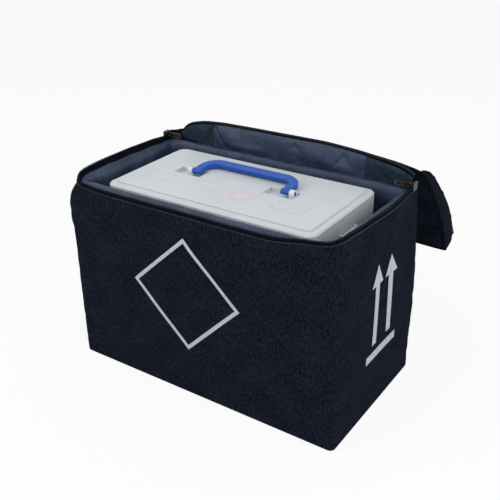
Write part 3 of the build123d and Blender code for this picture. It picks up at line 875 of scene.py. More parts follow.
def run_cloth(obj, pins, pressure, cap):
    """Runs a grid as cloth held by pin weights. How far a point may move is capped, in millimetres."""
    before = np.array([v.co[:] for v in obj.data.vertices])
    group = obj.vertex_groups.new(name="pins")
    for index, weight in enumerate(pins):
        if weight > 0:
            group.add([index], float(weight), "REPLACE")
    cloth = obj.modifiers.new("cloth", "CLOTH")
    for key, value in CLOTH.items():
        setattr(cloth.settings, key, value)
    cloth.settings.uniform_pressure_force = pressure
    cloth.settings.effector_weights.gravity = 0
    scene = bpy.context.scene
    cloth.point_cache.frame_start, cloth.point_cache.frame_end = 1, CLOTH_FRAMES
    scene.frame_start, scene.frame_end = 1, CLOTH_FRAMES
    for number in range(1, CLOTH_FRAMES + 1):
        scene.frame_set(number)
    result = obj.evaluated_get(bpy.context.evaluated_depsgraph_get()).data
    move = np.array([v.co[:] for v in result.vertices]) - before
    obj.modifiers.remove(cloth)
    obj.vertex_groups.clear()
    length = np.linalg.norm(move, axis=1)
    scale = np.where(length > 1e-9, cap * MM * np.tanh(length / (cap * MM)) / np.maximum(length, 1e-9), 1)
    obj.data.vertices.foreach_set("co", (before + move * scale[:, None]).ravel())
    obj.data.update()
    scene.frame_set(1)
    print(obj.name, "moved up to", round(float(length.max()) / MM, 1), "mm")


print("cloth runs for", CLOTH_FRAMES, "frames")

# %% [markdown]
# ## The cover
# Four walls of coarse weave are sewn into one loop that draws in over the zip tape at its top. Four
# flat panels would need their corners matched, so one grid goes all the way round. It is laid in its
# settled shape first and then run as cloth, held at its base, its rim and a little at its corners.

# %% Rows of the cover
COVER_TOP = COIL_TOP - 5.0
COVER_ROWS = [(0.0, z) for z in np.linspace(0.7, WALL_TOP - 4, 48)] + [
    (0.15, WALL_TOP - 1.5), (0.55, WALL_TOP + 0.8), (1.05, WALL_TOP + 2.8), (1.45, COVER_TOP)]
COVER_HEIGHTS = np.array([z for _, z in COVER_ROWS])
WALL_PADS = {f"pad_{side}": f"{side}_foam" for side in ("front", "rear", "left", "right")}
print("cover rows", len(COVER_ROWS))

# %% Unrolled coordinates


def unroll(obj, rings):
    """Even unrolled coordinates for the weave, and others with true distances for the prints."""
    index = np.empty(len(obj.data.loops), np.int32)
    obj.data.loops.foreach_get("vertex_index", index)
    row, station = index // STATIONS, index % STATIONS
    wraps = (station == 0) & (np.arange(len(index)) // 4 % STATIONS == STATIONS - 1)
    middle = front_start + FRONT_STEPS // 2
    for layer, rule in (("flat", lambda ring: arc_lengths(ring)[:-1] - arc_lengths(ring)[middle]),
                        ("prints", flat_across)):
        u = np.array([rule(ring) for ring in rings])[row, station]
        u = np.where(wraps, u + RIM_LENGTH, u)
        data = (obj.data.uv_layers.get(layer) or obj.data.uv_layers.new(name=layer)).data
        data.foreach_set("uv", (np.column_stack((u, COVER_HEIGHTS[row])) * MM).astype(np.float32).ravel())


print("the cover unrolls to", round(RIM_LENGTH), "mm")

# %% Pins


def cover_pins():
    """How firmly each point is held: at the rim, at the foot and a little at the corners."""
    corner = np.zeros(STATIONS)
    for start, steps in ((REAR_STEPS, REAR_CORNER_STEPS), (right_start + SIDE_STEPS, FRONT_CORNER_STEPS),
                         (front_start + FRONT_STEPS, FRONT_CORNER_STEPS),
                         (left_start + SIDE_STEPS, REAR_CORNER_STEPS)):
        corner = np.maximum(corner, hump(np.arange(STATIONS), start + steps / 2, steps / 2 + 1.5))
    top = 1 - smooth(-COVER_HEIGHTS, -(WALL_TOP - 6), -(WALL_TOP - 34))
    foot = 1 - smooth(COVER_HEIGHTS, 1, 22)
    return np.maximum(np.maximum(top, foot)[:, None], 0.25 * corner).ravel()


print("points held fast:", int((cover_pins() > 0.99).sum()))

# %% Bag cover


def make_cover():
    rings = [bag_ring(inset, z) for inset, z in COVER_ROWS]
    obj = add_grid("bag_cover", [settled(ring) for ring in rings], closed=True)
    unroll(obj, rings)
    run_cloth(obj, cover_pins(), pressure=-1.8, cap=1.6)
    thicken(obj, COVER_THICK)
    size = RIM_LENGTH * MM, COVER_TOP * MM
    finish_sheet(obj, "bag", COVER, "cover_fabric", ["outer_cover"], size,
                 area=0.999 * size[0] * size[1])
    return obj


print("cover area", round(area_of(make_cover()), 3), "m2")

# %% [markdown]
# ## Base and pads
# Under the box lies a stiff board on the base cloth, then a flat pad, and a die-cut pad stands in each
# wall. A plain box would show hard corners through the cloth. So a cube is cut into a fine grid, its
# edges are rounded by pulling points towards its core, and the grid is settled with the walls.

# %% Base cloth


def make_base():
    rings = []
    for inset in (0.4, 2, 6, 14, 30, 60, 90):
        ring = bag_ring(inset, 0)
        ring[:, 2] = 0.75 + 0.25 * (inset > 3)
        rings.append(ring)
    obj = add_grid("base_sheet", rings, closed=True, cap=True)
    thicken(obj, BAND_THICK, 1.0, rounded=False)
    finish_piece(obj, "bag", COVER_PLAIN, "cover_fabric", ["base_cover"])
    return obj


print("base", round(area_of(make_base()) * 1e4), "cm2")

# %% A block with soft edges


def rounded_block(name, low, high, radius, steps, shape=None):
    """A closed block with soft edges."""
    bpy.ops.mesh.primitive_cube_add(size=1)
    obj = bpy.context.object
    obj.name = name
    size, middle = np.array(high) - np.array(low), (np.array(high) + np.array(low)) / 2
    mesh = bmesh.new()
    mesh.from_mesh(obj.data)
    for axis, count in enumerate(steps):
        for i in range(1, count):
            at, normal = Vector((0, 0, 0)), Vector((0, 0, 0))
            at[axis], normal[axis] = i / count - 0.5, 1
            bmesh.ops.bisect_plane(mesh, geom=mesh.verts[:] + mesh.edges[:] + mesh.faces[:], plane_co=at,
                                   plane_no=normal)
    points = np.array([v.co[:] for v in mesh.verts]) * size
    core = np.clip(points, -(size / 2 - radius), size / 2 - radius)
    gap = points - core
    length = np.linalg.norm(gap, axis=1)[:, None]
    points = core + np.where(length > radius, gap * radius / np.maximum(length, 1e-6), gap) + middle
    for v, p in zip(mesh.verts, shape(points) if shape else points):
        v.co = Vector(p) * MM
    mesh.to_mesh(obj.data)
    mesh.free()
    obj.data.polygons.foreach_set("use_smooth", [True] * len(obj.data.polygons))
    return obj


print("blocks are ready")

# %% Pads


def pad_shape(points):
    """Rounds a pad's outer corners to the bag's own outline, one fabric inside it, and settles it."""
    p = np.array(points, float)
    rise = np.clip(p[:, 2] / WALL_TOP, 0, 1)
    half, deep = HALF_WIDTH + (RIM_HALF - HALF_WIDTH) * rise - 2.2, HALF_DEPTH - 2.2
    radius = np.where(p[:, 1] < 0, corner_growth(rise), REAR_RADIUS)
    p[:, 0] = np.clip(p[:, 0], -half, half)
    p[:, 1] = np.clip(p[:, 1], -deep, deep)
    over_x, over_y = np.abs(p[:, 0]) - (half - radius), np.abs(p[:, 1]) - (deep - radius)
    far = np.hypot(over_x, over_y)
    outside = (over_x > 0) & (over_y > 0) & (far > radius)
    scale = np.where(outside, radius / np.maximum(far, 1e-6), 1)
    for axis, edge, over in ((0, half, over_x), (1, deep, over_y)):
        p[:, axis] = np.where(outside, np.sign(p[:, axis]) * (edge - radius + over * scale), p[:, axis])
    return settled(p)


def finish_pad(obj, body, node):
    finish_piece(obj, body, PAD, "padding", [node])


for name, node in WALL_PADS.items():
    low, high = cad_box(node)
    steps = (60, 3, 30) if node in ("front_foam", "rear_foam") else (3, 30, 30)
    finish_pad(rounded_block(name, low + (0.9, 0.5, 0), high - (0.9, 0.5, -1.2), 4.5, steps, pad_shape),
               "bag", node)
finish_pad(rounded_block("pad_base", *cad_box("base_foam"), 2.5, (30, 20, 3)), "bag", "base_foam")
print("pads", len(WALL_PADS) + 1)

# %% [markdown]
# ## The lining
# The satin lining is a tub whose edge is folded over the pads and stitched to the rim, which makes the
# soft roll in front of the box. A full simulation of that fold would be slow and might slip, so its
# section is given row by row, with small regular pulls where the thread catches it.

# %% Lining
ROLL_ROWS = ((3.9, -4.0), (4.0, 0.5), (4.7, 2.9), (6.3, 4.4), (8.4, 5.0), (10.5, 4.3), (12.3, 2.4),
             (13.4, -0.8), (13.9, -6.0), (14.0, -20.0), (14.0, -45.0), (14.0, -75.0), (14.0, -110.0),
             (14.0, -145.0), (14.0, -180.0), (14.0, -198.0), (14.3, -207.0), (15.6, -212.0))


def lining_ring(inset, z):
    share = min(max((inset - 4) / 10, 0), 1)
    return at_height(outline(RIM_HALF - inset, HALF_DEPTH - inset, 22 - 15 * share, 1.5 + 5.5 * share), z)


def lining_creases(points):
    """Small pulls where the fold is stitched, and soft hollows along the roll."""
    p = settled(points)
    x, y, z = points.T
    on_roll = smooth(z, WALL_TOP - 14, WALL_TOP) * smooth(-z, -WALL_TOP - 6, -WALL_TOP - 1)
    turn = x * 0.9 + y * 1.1
    p[:, 2] += on_roll * (0.45 * np.sin(turn / 6.1) + 0.35 * np.sin(turn / 2.9 + 1.3))
    deep = smooth(-z, -WALL_TOP + 4, -WALL_TOP + 30) * smooth(z, 16, 60)
    push = 0.5 * np.sin(x / 17 + z / 23) + 0.4 * np.sin(y / 11 - z / 19 + 1.0)
    p[:, 0] += deep * push * np.sign(x) * smooth(np.abs(x), 150, 159)
    p[:, 1] += deep * push * np.sign(y) * smooth(np.abs(y), 70, 79)
    return p


def make_lining():
    rings = [lining_ring(inset, WALL_TOP + rise) for inset, rise in ROLL_ROWS]
    rings += [lining_ring(inset, FLOOR_Z + 0.6 + 0.15 * math.sin(inset)) for inset in (19, 30, 50, 70, 88)]
    obj = add_grid("lining_tub", [lining_creases(ring) for ring in rings], closed=True, cap=True)
    thicken(obj, LINING_THICK)
    finish_sheet(obj, "bag", LINING, "lining_fabric", ["lining"], (1.00, 0.62))
    return obj


print("lining area", round(area_of(make_lining()), 3), "m2")

# %% [markdown]
# ## Zip along the rim
# The lower half of the zip stands up from the rim: a woven tape with a nylon coil on its edge. A
# smooth bar would be quicker, but it loses the fine broken light line of a zip, so the coil is made
# of single loops. The rim's piping and its row of stitches follow the same runs.

# %% Runs along the rim
TAPE_INSET = 2.8


def open_run(ring, ends, gap=None):
    """A ring's part from the right side's rear end, over the front, to the left side's rear end."""
    run = ring[right_start:STATIONS - right_start + 1].copy()
    rear, front = run[0][1], run[SIDE_STEPS][1]
    for part, stop in zip((slice(0, SIDE_STEPS), slice(len(run) - SIDE_STEPS, None)), ends):
        run[part, 1] = front + (run[part, 1] - front) * (stop - front) / (rear - front)
    return resample(run, gap)[0] if gap else run


def rim_run(inset, z, gap=None):
    return settled(open_run(bag_ring(inset, z), (ZIP_END, ZIP_END), gap))


print("zip run", round(arc_lengths(rim_run(TAPE_INSET, COIL_Z), closed=False)[-1]), "mm")

# %% Tapes and coils
WIRE, LOOP_HALF, LOOP_GAP, LOOP_POINTS, WIRE_SIDES = 0.30, 0.95, 1.25, 10, 5


def make_tape(name, body, node, rings, width):
    obj = add_grid(name, rings)
    thicken(obj, TAPE_THICK, 0.0, rounded=False)
    length = arc_lengths(rings[0], closed=False)[-1] * MM
    finish_sheet(obj, body, TAPE, "zip_tape", [node], (length, width), area_of(obj))
    return obj


def make_coil(name, body, node, run, up):
    """Closed loops of monofilament side by side along a tape's edge."""
    shape = []
    for t in np.linspace(0, 2 * np.pi, LOOP_POINTS, endpoint=False):
        out = np.array((0.0, math.cos(t), math.sin(t)))
        shape += [LOOP_HALF * out + WIRE * (math.cos(r) * out + math.sin(r) * np.array((1.0, 0, 0)))
                  for r in np.linspace(0, 2 * np.pi, WIRE_SIDES, endpoint=False)]
    faces, count = [], LOOP_POINTS * WIRE_SIDES
    for i in range(0, count, WIRE_SIDES):
        for k in range(WIRE_SIDES):
            j, m = (i + WIRE_SIDES) % count, (k + 1) % WIRE_SIDES
            faces.append((i + k, i + m, j + m, j + k))
    places = []
    for p, a in zip(*resample(run, LOOP_GAP)):
        side = np.cross(a, up)
        side /= np.linalg.norm(side)
        lean = a + 0.35 * side
        places.append((p, lean / np.linalg.norm(lean), side, np.cross(side, a)))
    finish_piece(add_copies(name, np.array(shape), faces, places), body, COIL, "zip_coil", [node])
    return len(places)


print("each loop has", LOOP_POINTS * WIRE_SIDES, "points")

# %% Lower zip half, piping and stitches
TAPE_ROWS = (WALL_TOP - 4, WALL_TOP, WALL_TOP + 3, COIL_Z, COIL_Z + 1)
LOWER_TAPE_WIDTH = 0.013
make_tape("zip_tape_low", "bag", "zip_tape_lower", [rim_run(TAPE_INSET, z) for z in TAPE_ROWS],
          LOWER_TAPE_WIDTH)
coil_run = rim_run(TAPE_INSET, COIL_Z + 1.1, 2.0)
loops = make_coil("zip_coil_low", "bag", "zip_coil_lower", coil_run, (0.0, 0.0, 1.0))
cord = add_tube("rim_piping_cord", rim_run(1.15, COVER_TOP + 0.1), 0.75, 8)
finish_piece(cord, "bag", PIPING, "piping", ["rim_piping"])
finish_piece(add_stitches("rim_stitches", rim_run(0.0, COVER_TOP - 6.2)), "bag", THREAD)
print("loops of the lower coil:", loops)

# %% [markdown]
# ## The ridge behind the box
# The lid hangs from a low padded strip along the rear. It falls steeply at its left end and gently at
# its right end, as the lid's weight pulls it. A simulation would need the lid's weight too, so its
# top line is a table of heights, and its pulled folds are formulas that fade away from a seam.

# %% Lines of the ridge
RIDGE_X = (-174.0, -162.0, -154.0, -150.0, -141.0, -130.0, -112.0, -85.0, -40.0, 60.0, 102.0, 124.0, 146.0,
           160.0, 174.0)
RIDGE_TOP = (214.0, 226.0, 240.0, 247.0, 254.0, 257.8, 261.4, 263.4, 264.0, 263.9, 261.2, 258.6, 255.5,
             252.0, 246.5)
RIDGE_LOW, RIDGE_HIGH = -153.0, 171.0
PATCH_LEFT_X, PATCH_RIGHT_X = -102.0, 114.0
PIPE, FACING_STEPS = 1.7, 40


def ridge_top(x):
    spread = sum(np.interp(np.asarray(x) + d, RIDGE_X, RIDGE_TOP) for d in (-6, -3, 3, 6))
    return (np.interp(x, RIDGE_X, RIDGE_TOP) + spread) / 5


def ridge_back(x):
    """How far back the ridge lies. Its ends bend forward round the rear corners."""
    bend = np.where(x > 150, (x - 150) ** 2 / 95.0, 0) + np.where(x < -148, (x + 148) ** 2 / 30.0, 0)
    return HINGE_Y - 1.2 - bend + 0.5 * np.sin(x / 33)


print("ridge is highest at", max(RIDGE_TOP), "mm")

# %% Its creased front


def pucker(x, z, at, top, spread, depth):
    """Folds that open downwards from a point, as where a seam catches the lining."""
    down = np.clip(top - z, 0, None)
    fold = sum(hump(x - at - lean * down, 0, 1.2 + 0.10 * down) for lean in (-0.55, 0.0, 0.5))
    return depth * fold * smooth(down, 0, 6) * (1 - smooth(down, spread * 0.5, spread))


def facing_y(x, z):
    """The front face of the ridge, with its creases."""
    y = ridge_back(x) - 3.4 - 1.6 * np.sin(np.pi * smooth(z, WALL_TOP, 262))
    y = y - 0.9 * np.sin(x / 19 + z / 8) * smooth(z, WALL_TOP + 2, WALL_TOP + 14)
    y = y + pucker(x, z, -97, 260, 30, 3.0) + pucker(x, z, 84, 256, 20, 2.4) + pucker(x, z, 20, 258, 14, 1.4)
    y = y - 1.3 * hump(z, 239 + 0.02 * x, 2.6) * smooth(x, -90, -60) * smooth(-x, 10, 40)
    return y + 1.6 * smooth(np.abs(x), 118, 140) * smooth(-z, -254, -242)


def cut_size(obj):
    """A flat cut that is large enough for a sheet's cloth, in metres."""
    length, width = sorted(obj.dimensions)[:0:-1]
    width = max(width, 0.0101)
    share = area_of(obj) / (width * length)
    return (width * share * 1.01 if share > 1 else width), length


print("front of the ridge at its middle: Y", round(float(facing_y(np.array(0.0), np.array(245.0))), 1))

# %% Ridge pad


def make_ridge():
    xs = np.linspace(RIDGE_LOW, RIDGE_HIGH, 90)
    low, back = WALL_TOP - 3, ridge_back(xs)
    outer, inner = [], []
    for share in np.linspace(0, 1, 14):
        z = low + (ridge_top(xs) - 2.0 * PIPE - low) * share
        half = 1.3 * math.sqrt(max(1 - share ** 8, 0.02))
        outer.append(np.column_stack((xs, back + half, z)))
        inner.append(np.column_stack((xs, back - half, z)))
    obj = add_grid("ridge_pad", outer + inner[::-1])
    add_modifier(obj, "SUBSURF", levels=1, render_levels=1)
    finish_piece(obj, "bag", COVER_PLAIN, "cover_fabric", ["hinge_strip"])


make_ridge()
print("ridge runs from", RIDGE_LOW, "to", RIDGE_HIGH, "mm")

# %% Rings of the ridge's sheets


def hang_sheet(obj, material, slot, replaces, on):
    size = cut_size(obj)
    area = max(area_of(obj), 0.301 * size[0] * size[1])
    thicken(obj, LINING_THICK, 0.0)
    finish_sheet(obj, "bag", material, slot, replaces, size, area)


def ridge_rings(x_low, x_high, steps, lift):
    xs = np.linspace(x_low, x_high, steps)
    low = WALL_TOP - 2
    for share in np.linspace(0, 1, 15):
        z = low + (ridge_top(xs) - 2.0 * PIPE - low) * share
        yield np.column_stack((xs, facing_y(xs, z) - lift + 1.8 * smooth(share, 0.86, 1.0), z))


def corner_rings(x_low, x_high, tall):
    xs = np.linspace(x_low, x_high, FACING_STEPS)
    turn = np.where(np.abs(xs) > 156, (np.abs(xs) - 156) ** 2 / 40, 0)
    for k in range(4):
        yield at_height(np.column_stack((xs, HALF_DEPTH - 5.0 - turn - 0.4 * k)), WALL_TOP - 1 + tall * k / 3)


def gusset_rings(side):
    corner = RIM[REAR_STEPS - 4:right_start + 2]
    corner = corner[corner[:, 1] > ZIP_END + 1.5] * (side, 1, 1)
    low = WALL_TOP - 3
    top = 240 + 5 * smooth(-np.abs(corner[:, 0]), -170, -150)
    for share in np.linspace(0, 1, 6):
        yield np.column_stack((corner[:, 0], corner[:, 1] - 0.8 * share, low + (top - low) * share))


print("the corner gussets have", len(list(gusset_rings(1))), "rows")

# %% Sheets of the ridge
RIDGE_SHEETS = {
    "ridge_lining": (ridge_rings(PATCH_LEFT_X, PATCH_RIGHT_X, 110, 0.0), LINING, "lining_fabric",
                     ["strip_lining"], "ridge_pad"),
    "ridge_patch_left": (ridge_rings(-152.0, PATCH_LEFT_X + 3, 30, 0.55), PATCH, "woven_patch",
                         ["strip_patch_left"], "ridge_pad"),
    "ridge_patch_right": (ridge_rings(PATCH_RIGHT_X - 3, 170.0, 34, 0.55), PATCH, "woven_patch",
                          ["strip_patch_right"], "ridge_pad"),
}
for name, (rings, *rest) in RIDGE_SHEETS.items():
    hang_sheet(add_grid(name, list(rings)), *rest)
print("sheets of the ridge:", len(RIDGE_SHEETS))

# %% Piping of the ridge
pipe_x = np.linspace(RIDGE_LOW, RIDGE_HIGH, 110)
pipe_run = np.column_stack((pipe_x, ridge_back(pipe_x), ridge_top(pipe_x) - PIPE))
finish_piece(add_tube("ridge_piping_cord", pipe_run, PIPE, 12), "bag", RIDGE_PIPING, "piping")
print("piping", round(arc_lengths(pipe_run, closed=False)[-1]), "mm")

# %% Corners beside the ridge
CORNER_SHEETS = {
    "corner_facing_left": (corner_rings(-170.0, PATCH_LEFT_X - 3, 8.5), TAPE, "zip_tape", (), "ridge_pad"),
    "corner_facing_right": (corner_rings(138.0, 170.0, 5.0), TAPE, "zip_tape", (), "ridge_pad"),
    "gusset_right": (gusset_rings(1), COVER_PLAIN, "cover_fabric", ["corner_gusset_right"], "bag_cover"),
    "gusset_left": (gusset_rings(-1), COVER_PLAIN, "cover_fabric", ["corner_gusset_left"], "bag_cover"),
}
for name, (rings, *rest) in CORNER_SHEETS.items():
    hang_sheet(add_grid(name, list(rings)), *rest)
print("sheets of the corners:", len(CORNER_SHEETS))

# %% [markdown]
# ## The shape of the folded lid
# The lid is a padded panel with a side band that is folded nearly flat near the hinge and stands wide
# at its free corners. It could be drawn where it hangs, but then it might not fit when closed. So it
# is shaped as if closed, softened, and then turned about its hinge.

# %% Turning the lid
LID_TURN = math.radians(-233.3)
LID_TOP, LID_EXTRA, LID_CORNER = HINGE_Z, 6.0, 4.5
LID_REACH = HINGE_Y + HALF_DEPTH + LID_EXTRA
LID_CUT = 2 * RIM_HALF * MM, LID_REACH * MM
PANEL_DEPTH = 6.0
DROOP_SHARE, DROOP_FADE = 0.55, 55.0


def ridge_gap(x):
    """How far the ridge lies below the hinge line at its drooping ends."""
    return np.maximum(max(RIDGE_TOP) - ridge_top(x), 0)


def lid_cut(x):
    """The lid's rear corners are cut round by this much, so that they don't stand above the ridge."""
    return (1 - DROOP_SHARE) * ridge_gap(x) / math.sin(-LID_TURN - math.pi)


def hang(points):
    """Turns points of the closed lid about the hinge into the open lid's place."""
    p = np.array(points, float)
    y, z = p[:, 1] - HINGE_Y, p[:, 2] - HINGE_Z
    c, s = math.cos(LID_TURN), math.sin(LID_TURN)
    p[:, 1], p[:, 2] = HINGE_Y + c * y - s * z, HINGE_Z + s * y + c * z
    return p


print("lid reaches", round(LID_REACH), "mm from its hinge")

# %% How the lid has softened


def lid_settled(points):
    """How the closed lid's plain shape has softened, turned into the open lid's place."""
    p = np.array(points, float)
    x, y, z = points.T
    t = np.clip((HINGE_Y - y) / LID_REACH, 0, 1)
    u = np.clip(np.abs(x) / RIM_HALF, 0, 1)
    below = LID_TOP - z
    open_up = smooth(t - lid_cut(x) / LID_REACH, 0, 0.16)
    depth = np.clip(0.10 + 0.95 * t, 0.2, 1.0) * (0.12 + 0.88 * open_up)
    thick = (0.5 + 0.5 * t) * (0.35 + 0.65 * open_up)
    deep = np.where(below > PANEL_DEPTH, PANEL_DEPTH * thick + (below - PANEL_DEPTH) * depth, below * thick)
    bow = -8.0 * np.sin(np.pi * t ** 0.9) + 3.5 * np.sin(np.pi * t) * (1 - u ** 4)
    wave = 0.9 * np.sin(x / 23 + y / 17) + 0.6 * np.sin(x / 11 - y / 21 + 1.2)
    crease = -3.0 * hump(t, 0.50 - 0.16 * (1 - u), 0.024) - 2.4 * hump(t, 0.30 + 0.05 * np.sin(x / 30), 0.022)
    crease = (crease - 2.4 * hump(t, 0.80 + 0.10 * (1 - u), 0.022)) * (1 - 0.65 * smooth(u, 0.90, 1.0))
    fade = smooth(t, 0.02, 0.12) * (1 - 0.6 * smooth(t, 0.9, 1.0))
    droop = DROOP_SHARE * ridge_gap(x) * np.exp(-t * LID_REACH / DROOP_FADE)
    p[:, 2] = LID_TOP - deep + (bow + wave + crease) * fade + 3.0 * smooth(t, 0.7, 1.0)
    p[:, 2] += math.cos(LID_TURN + math.pi) * droop
    p[:, 1] -= math.sin(-LID_TURN - math.pi) * droop
    p[:, 0] += np.sign(x) * (0.6 + 1.8 * smooth(below, 1, 20)) * smooth(t, 0.05, 0.4) * smooth(u, 0.9, 1.0)
    return hang(p)


lid_middle = lid_settled(np.array([[0.0, 0.0, LID_TOP]]))[0]
print("middle of the open lid: Y", round(lid_middle[1]), "Z", round(lid_middle[2]))

# %% [markdown]
# ## The lid's panels
# Outer cloth and inner lining are grids with rounded free corners, a little puffed by the pad between
# them. They are run as cloth too, held along all their edges, so that they pillow like the real ones.

# %% Grid of a panel
LID_COLUMNS, LID_ROWS = 72, 38


def lid_panel(name, height, inset, puff, clear):
    """A panel over the lid, with rounded free corners, drawn-in rear corners and a gap at the fold."""
    us = np.linspace(-1, 1, LID_COLUMNS)
    front = HALF_DEPTH + LID_EXTRA - inset
    radius, half = LID_CORNER - inset, RIM_HALF - inset
    rings = []
    for v in 0.5 - 0.5 * np.cos(np.pi * np.linspace(0, 1, LID_ROWS)):
        into = max(radius - front - (HINGE_Y - v * (HINGE_Y + front)), 0)
        reach = half - radius + math.sqrt(max(radius * radius - into * into, 0)) if into > 0 else half
        xs = us * reach
        start = HINGE_Y - clear - lid_cut(xs)
        edge = np.minimum((1 - np.abs(us)) * reach, min(v, 1 - v) * LID_REACH)
        z = height + puff * (1 - np.exp(-edge / 9.0))
        rings.append(lid_settled(np.column_stack((xs, start - v * (start + front), z))))
    return add_grid(name, rings)


def lid_border():
    rows, columns = np.indices((LID_ROWS, LID_COLUMNS))
    near = np.minimum.reduce((rows, LID_ROWS - 1 - rows, columns, LID_COLUMNS - 1 - columns))
    return np.select((near == 0, near == 1, near == 2), (1.0, 0.6, 0.15)).ravel()


print("points of a panel:", LID_ROWS * LID_COLUMNS)

# %% Two panels and a pad
LID_PANELS = {
    "lid_outer": ((LID_TOP - 1.4, 1.6, 1.4, 0.0), -1.6, COVER_THICK, COVER_PLAIN, "cover_fabric",
                  "lid_cover"),
    "lid_inner_lining": ((LID_TOP - PANEL_DEPTH - 0.4, 3.2, -1.6, 5.5), 1.6, LINING_THICK, LINING,
                         "lining_fabric", "lid_lining"),
}
for name, (shape, pressure, thickness, material, slot, node) in LID_PANELS.items():
    obj = lid_panel(name, *shape)
    run_cloth(obj, lid_border(), pressure, cap=4.0)
    thicken(obj, thickness, 0.0)
    finish_sheet(obj, "lid", material, slot, [node], LID_CUT)
    print(name, round(area_of(obj), 3), "m2")
finish_pad(rounded_block("lid_pad", (7 - RIM_HALF, 9 - HALF_DEPTH, LID_TOP - 5.2),
                         (RIM_HALF - 7, HINGE_Y - 24, LID_TOP - 2.4), 1.2, (50, 30, 3), lid_settled),
           "lid", "lid_foam")

# %% [markdown]
# ## The lid's band, zip half and piping
# The band is the lid's upright edge and carries the zip's other half. All of them follow the lid's
# outline at different depths, so one run serves for all. The zip hangs lower in front, where it has to
# meet the sunken rim when the lid is closed.

# %% Edge of the lid
LID_ENDS = tuple(float(HINGE_Y - 1.5 - lid_cut(x)) for x in (RIM_HALF, -RIM_HALF))
BAND_ROWS = ((1.5, 0.8), (0.6, 3), (0.3, 6), (0.5, 11), (1.0, 16), (1.8, 18.5))
BAND_WIDTH, UPPER_TAPE_WIDTH = 0.020, 0.016


def lid_run(inset, below, ends, gap=None):
    xy = outline(RIM_HALF - inset, HALF_DEPTH + LID_EXTRA - inset, LID_CORNER - inset,
                 max(REAR_RADIUS - inset, 1))
    return open_run(at_height(xy, LID_TOP - below), ends, gap)


def lid_zip_run(below, gap=None):
    """A run of the lid's zip half. It hangs lower in front, so that it meets the sunken rim."""
    run = lid_run(2.6, below, (ZIP_END - 12, ZIP_END - 12), gap)
    share = min(max((below - 14) / 10, 0), 1)
    run[:, 2] += 1.7 * share * np.minimum(rim_drop(run[:, 0], run[:, 1]), 0) * smooth(-run[:, 1], 60, 92)
    return lid_settled(run)


def make_band():
    rings = [lid_settled(lid_run(inset, below, LID_ENDS)) for inset, below in BAND_ROWS]
    band = add_grid("lid_side_band", rings)
    thicken(band, BAND_THICK, 0.0)
    finish_sheet(band, "lid", COVER_PLAIN, "cover_fabric", ["lid_band"],
                 (arc_lengths(rings[0], closed=False)[-1] * MM, BAND_WIDTH))


make_band()
make_tape("zip_tape_up", "lid", "zip_tape_upper", [lid_zip_run(below) for below in (16, 19, 22, 24)],
          UPPER_TAPE_WIDTH)
loops = make_coil("zip_coil_up", "lid", "zip_coil_upper", lid_zip_run(25, 2.0),
                  (0.0, -math.sin(-LID_TURN), math.cos(LID_TURN)))
cord = add_tube("lid_piping_cord", lid_settled(lid_run(1.4, 0.6, LID_ENDS)), 1.3, 10)
finish_piece(cord, "lid", COVER_PLAIN, "piping", ["lid_piping"])
print("loops of the upper coil:", loops)

# %% [markdown]
# ## The lid's webbing handle
# A ribbed strap is sewn flat at both ends and arches between them for a hand. Cloth simulation would
# let it sag, but webbing this stiff keeps a clean curve, so it stays a plain bent strip.

# %% Webbing handle
STRAP_WIDTH, STRAP_END, STRAP_FOOT, STRAP_ARCH, STRAP_RISE = 32.0, 84.0, 58.0, 36.0, 29.0
STRAP_STATIONS = 90


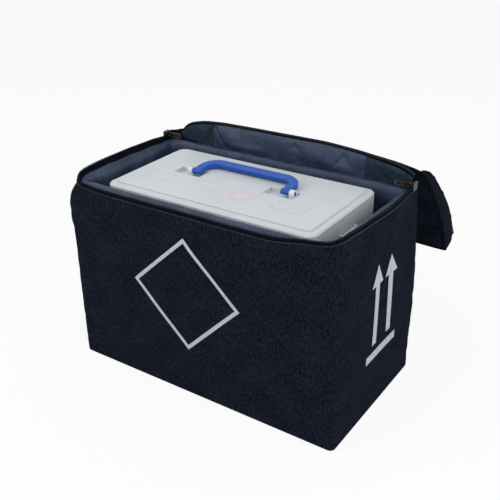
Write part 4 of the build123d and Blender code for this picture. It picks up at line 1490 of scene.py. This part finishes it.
def make_strap():
    xs = np.linspace(-STRAP_END, STRAP_END, STRAP_STATIONS)
    lift = STRAP_RISE * (1 - smooth(np.abs(xs), STRAP_ARCH - 8, STRAP_FOOT + 3))
    rings = []
    for v in np.linspace(-0.5, 0.5, 7):
        flat = np.column_stack((xs, np.full(STRAP_STATIONS, v * STRAP_WIDTH)))
        base, above = (lid_settled(at_height(flat, LID_TOP + up)) for up in (2.0, 3.0))
        out = above - base
        out /= np.linalg.norm(out, axis=1)[:, None]
        sag = 0.8 * (1 - (2 * v) ** 2) * np.cos(xs / 30)
        rings.append(base + out * (lift + sag * smooth(-np.abs(xs), -50, -20))[:, None])
    strap = add_grid("strap", rings)
    thicken(strap, STRAP_THICK, 0.0, rounded=False)
    add_modifier(strap, "BEVEL", width=0.5 * MM, segments=2)
    area = area_of(strap)
    finish_sheet(strap, "lid", WEBBING, "webbing", ["carry_handle"],
                 (STRAP_WIDTH * MM, area / (STRAP_WIDTH * MM) * 1.002))
    return area


print("strap area", round(make_strap() * 1e4, 1), "cm2")

# %% [markdown]
# ## Rigid pieces
# The box, its lid, handle, latches and the zip sliders come from the CAD frame as they are, because
# their joints depend on exact shapes. CAD edges are razor sharp, though, and real ones catch light. A
# small bevel rounds them without touching the solids.

# %% Paint the CAD nodes
FINISHES = {
    "base_board": BOARD, "zip_stops": SLIDER_METAL, "box_base": BOX_WHITE, "box_lid": BOX_LID_WHITE,
    "lid_gasket": GASKET, "pivot_clip_left": CLIP_WHITE, "pivot_clip_right": CLIP_WHITE,
    "box_handle": HANDLE_BLUE, "latch_left": LATCH_WHITE, "latch_right": LATCH_WHITE,
    "latch_pin_left": STEEL, "latch_pin_right": STEEL, "slider_left": SLIDER_METAL,
    "slider_right": SLIDER_METAL, "pull_left": PULL_METAL, "pull_right": PULL_METAL,
}
BEVELS = {"box_lid": 0.5, "box_base": 0.5, "box_handle": 0.9, "latch_left": 0.35, "latch_right": 0.35,
          "slider_left": 0.3, "slider_right": 0.3, "pull_left": 0.25, "pull_right": 0.25}
BEVEL_ANGLE = math.radians(28)

for name, material in FINISHES.items():
    nodes[name].data.materials.clear()
    nodes[name].data.materials.append(material)
    if name in BEVELS:
        add_modifier(nodes[name], "BEVEL", width=BEVELS[name] * MM, segments=2, limit_method="ANGLE",
                     angle_limit=BEVEL_ANGLE, harden_normals=True)
left_over = sorted(n for n, o in nodes.items() if not o.hide_render and n not in FINISHES)
print("CAD nodes without a finish:", left_over)

# %% Measure and finish
end_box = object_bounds()
[[list(corner) for corner in box] for box in (start_box, end_box)]
for axis in range(3):
    print("XYZ"[axis], [round(box[k][axis] / MM, 1) for box in (start_box, end_box) for k in (0, 1)])
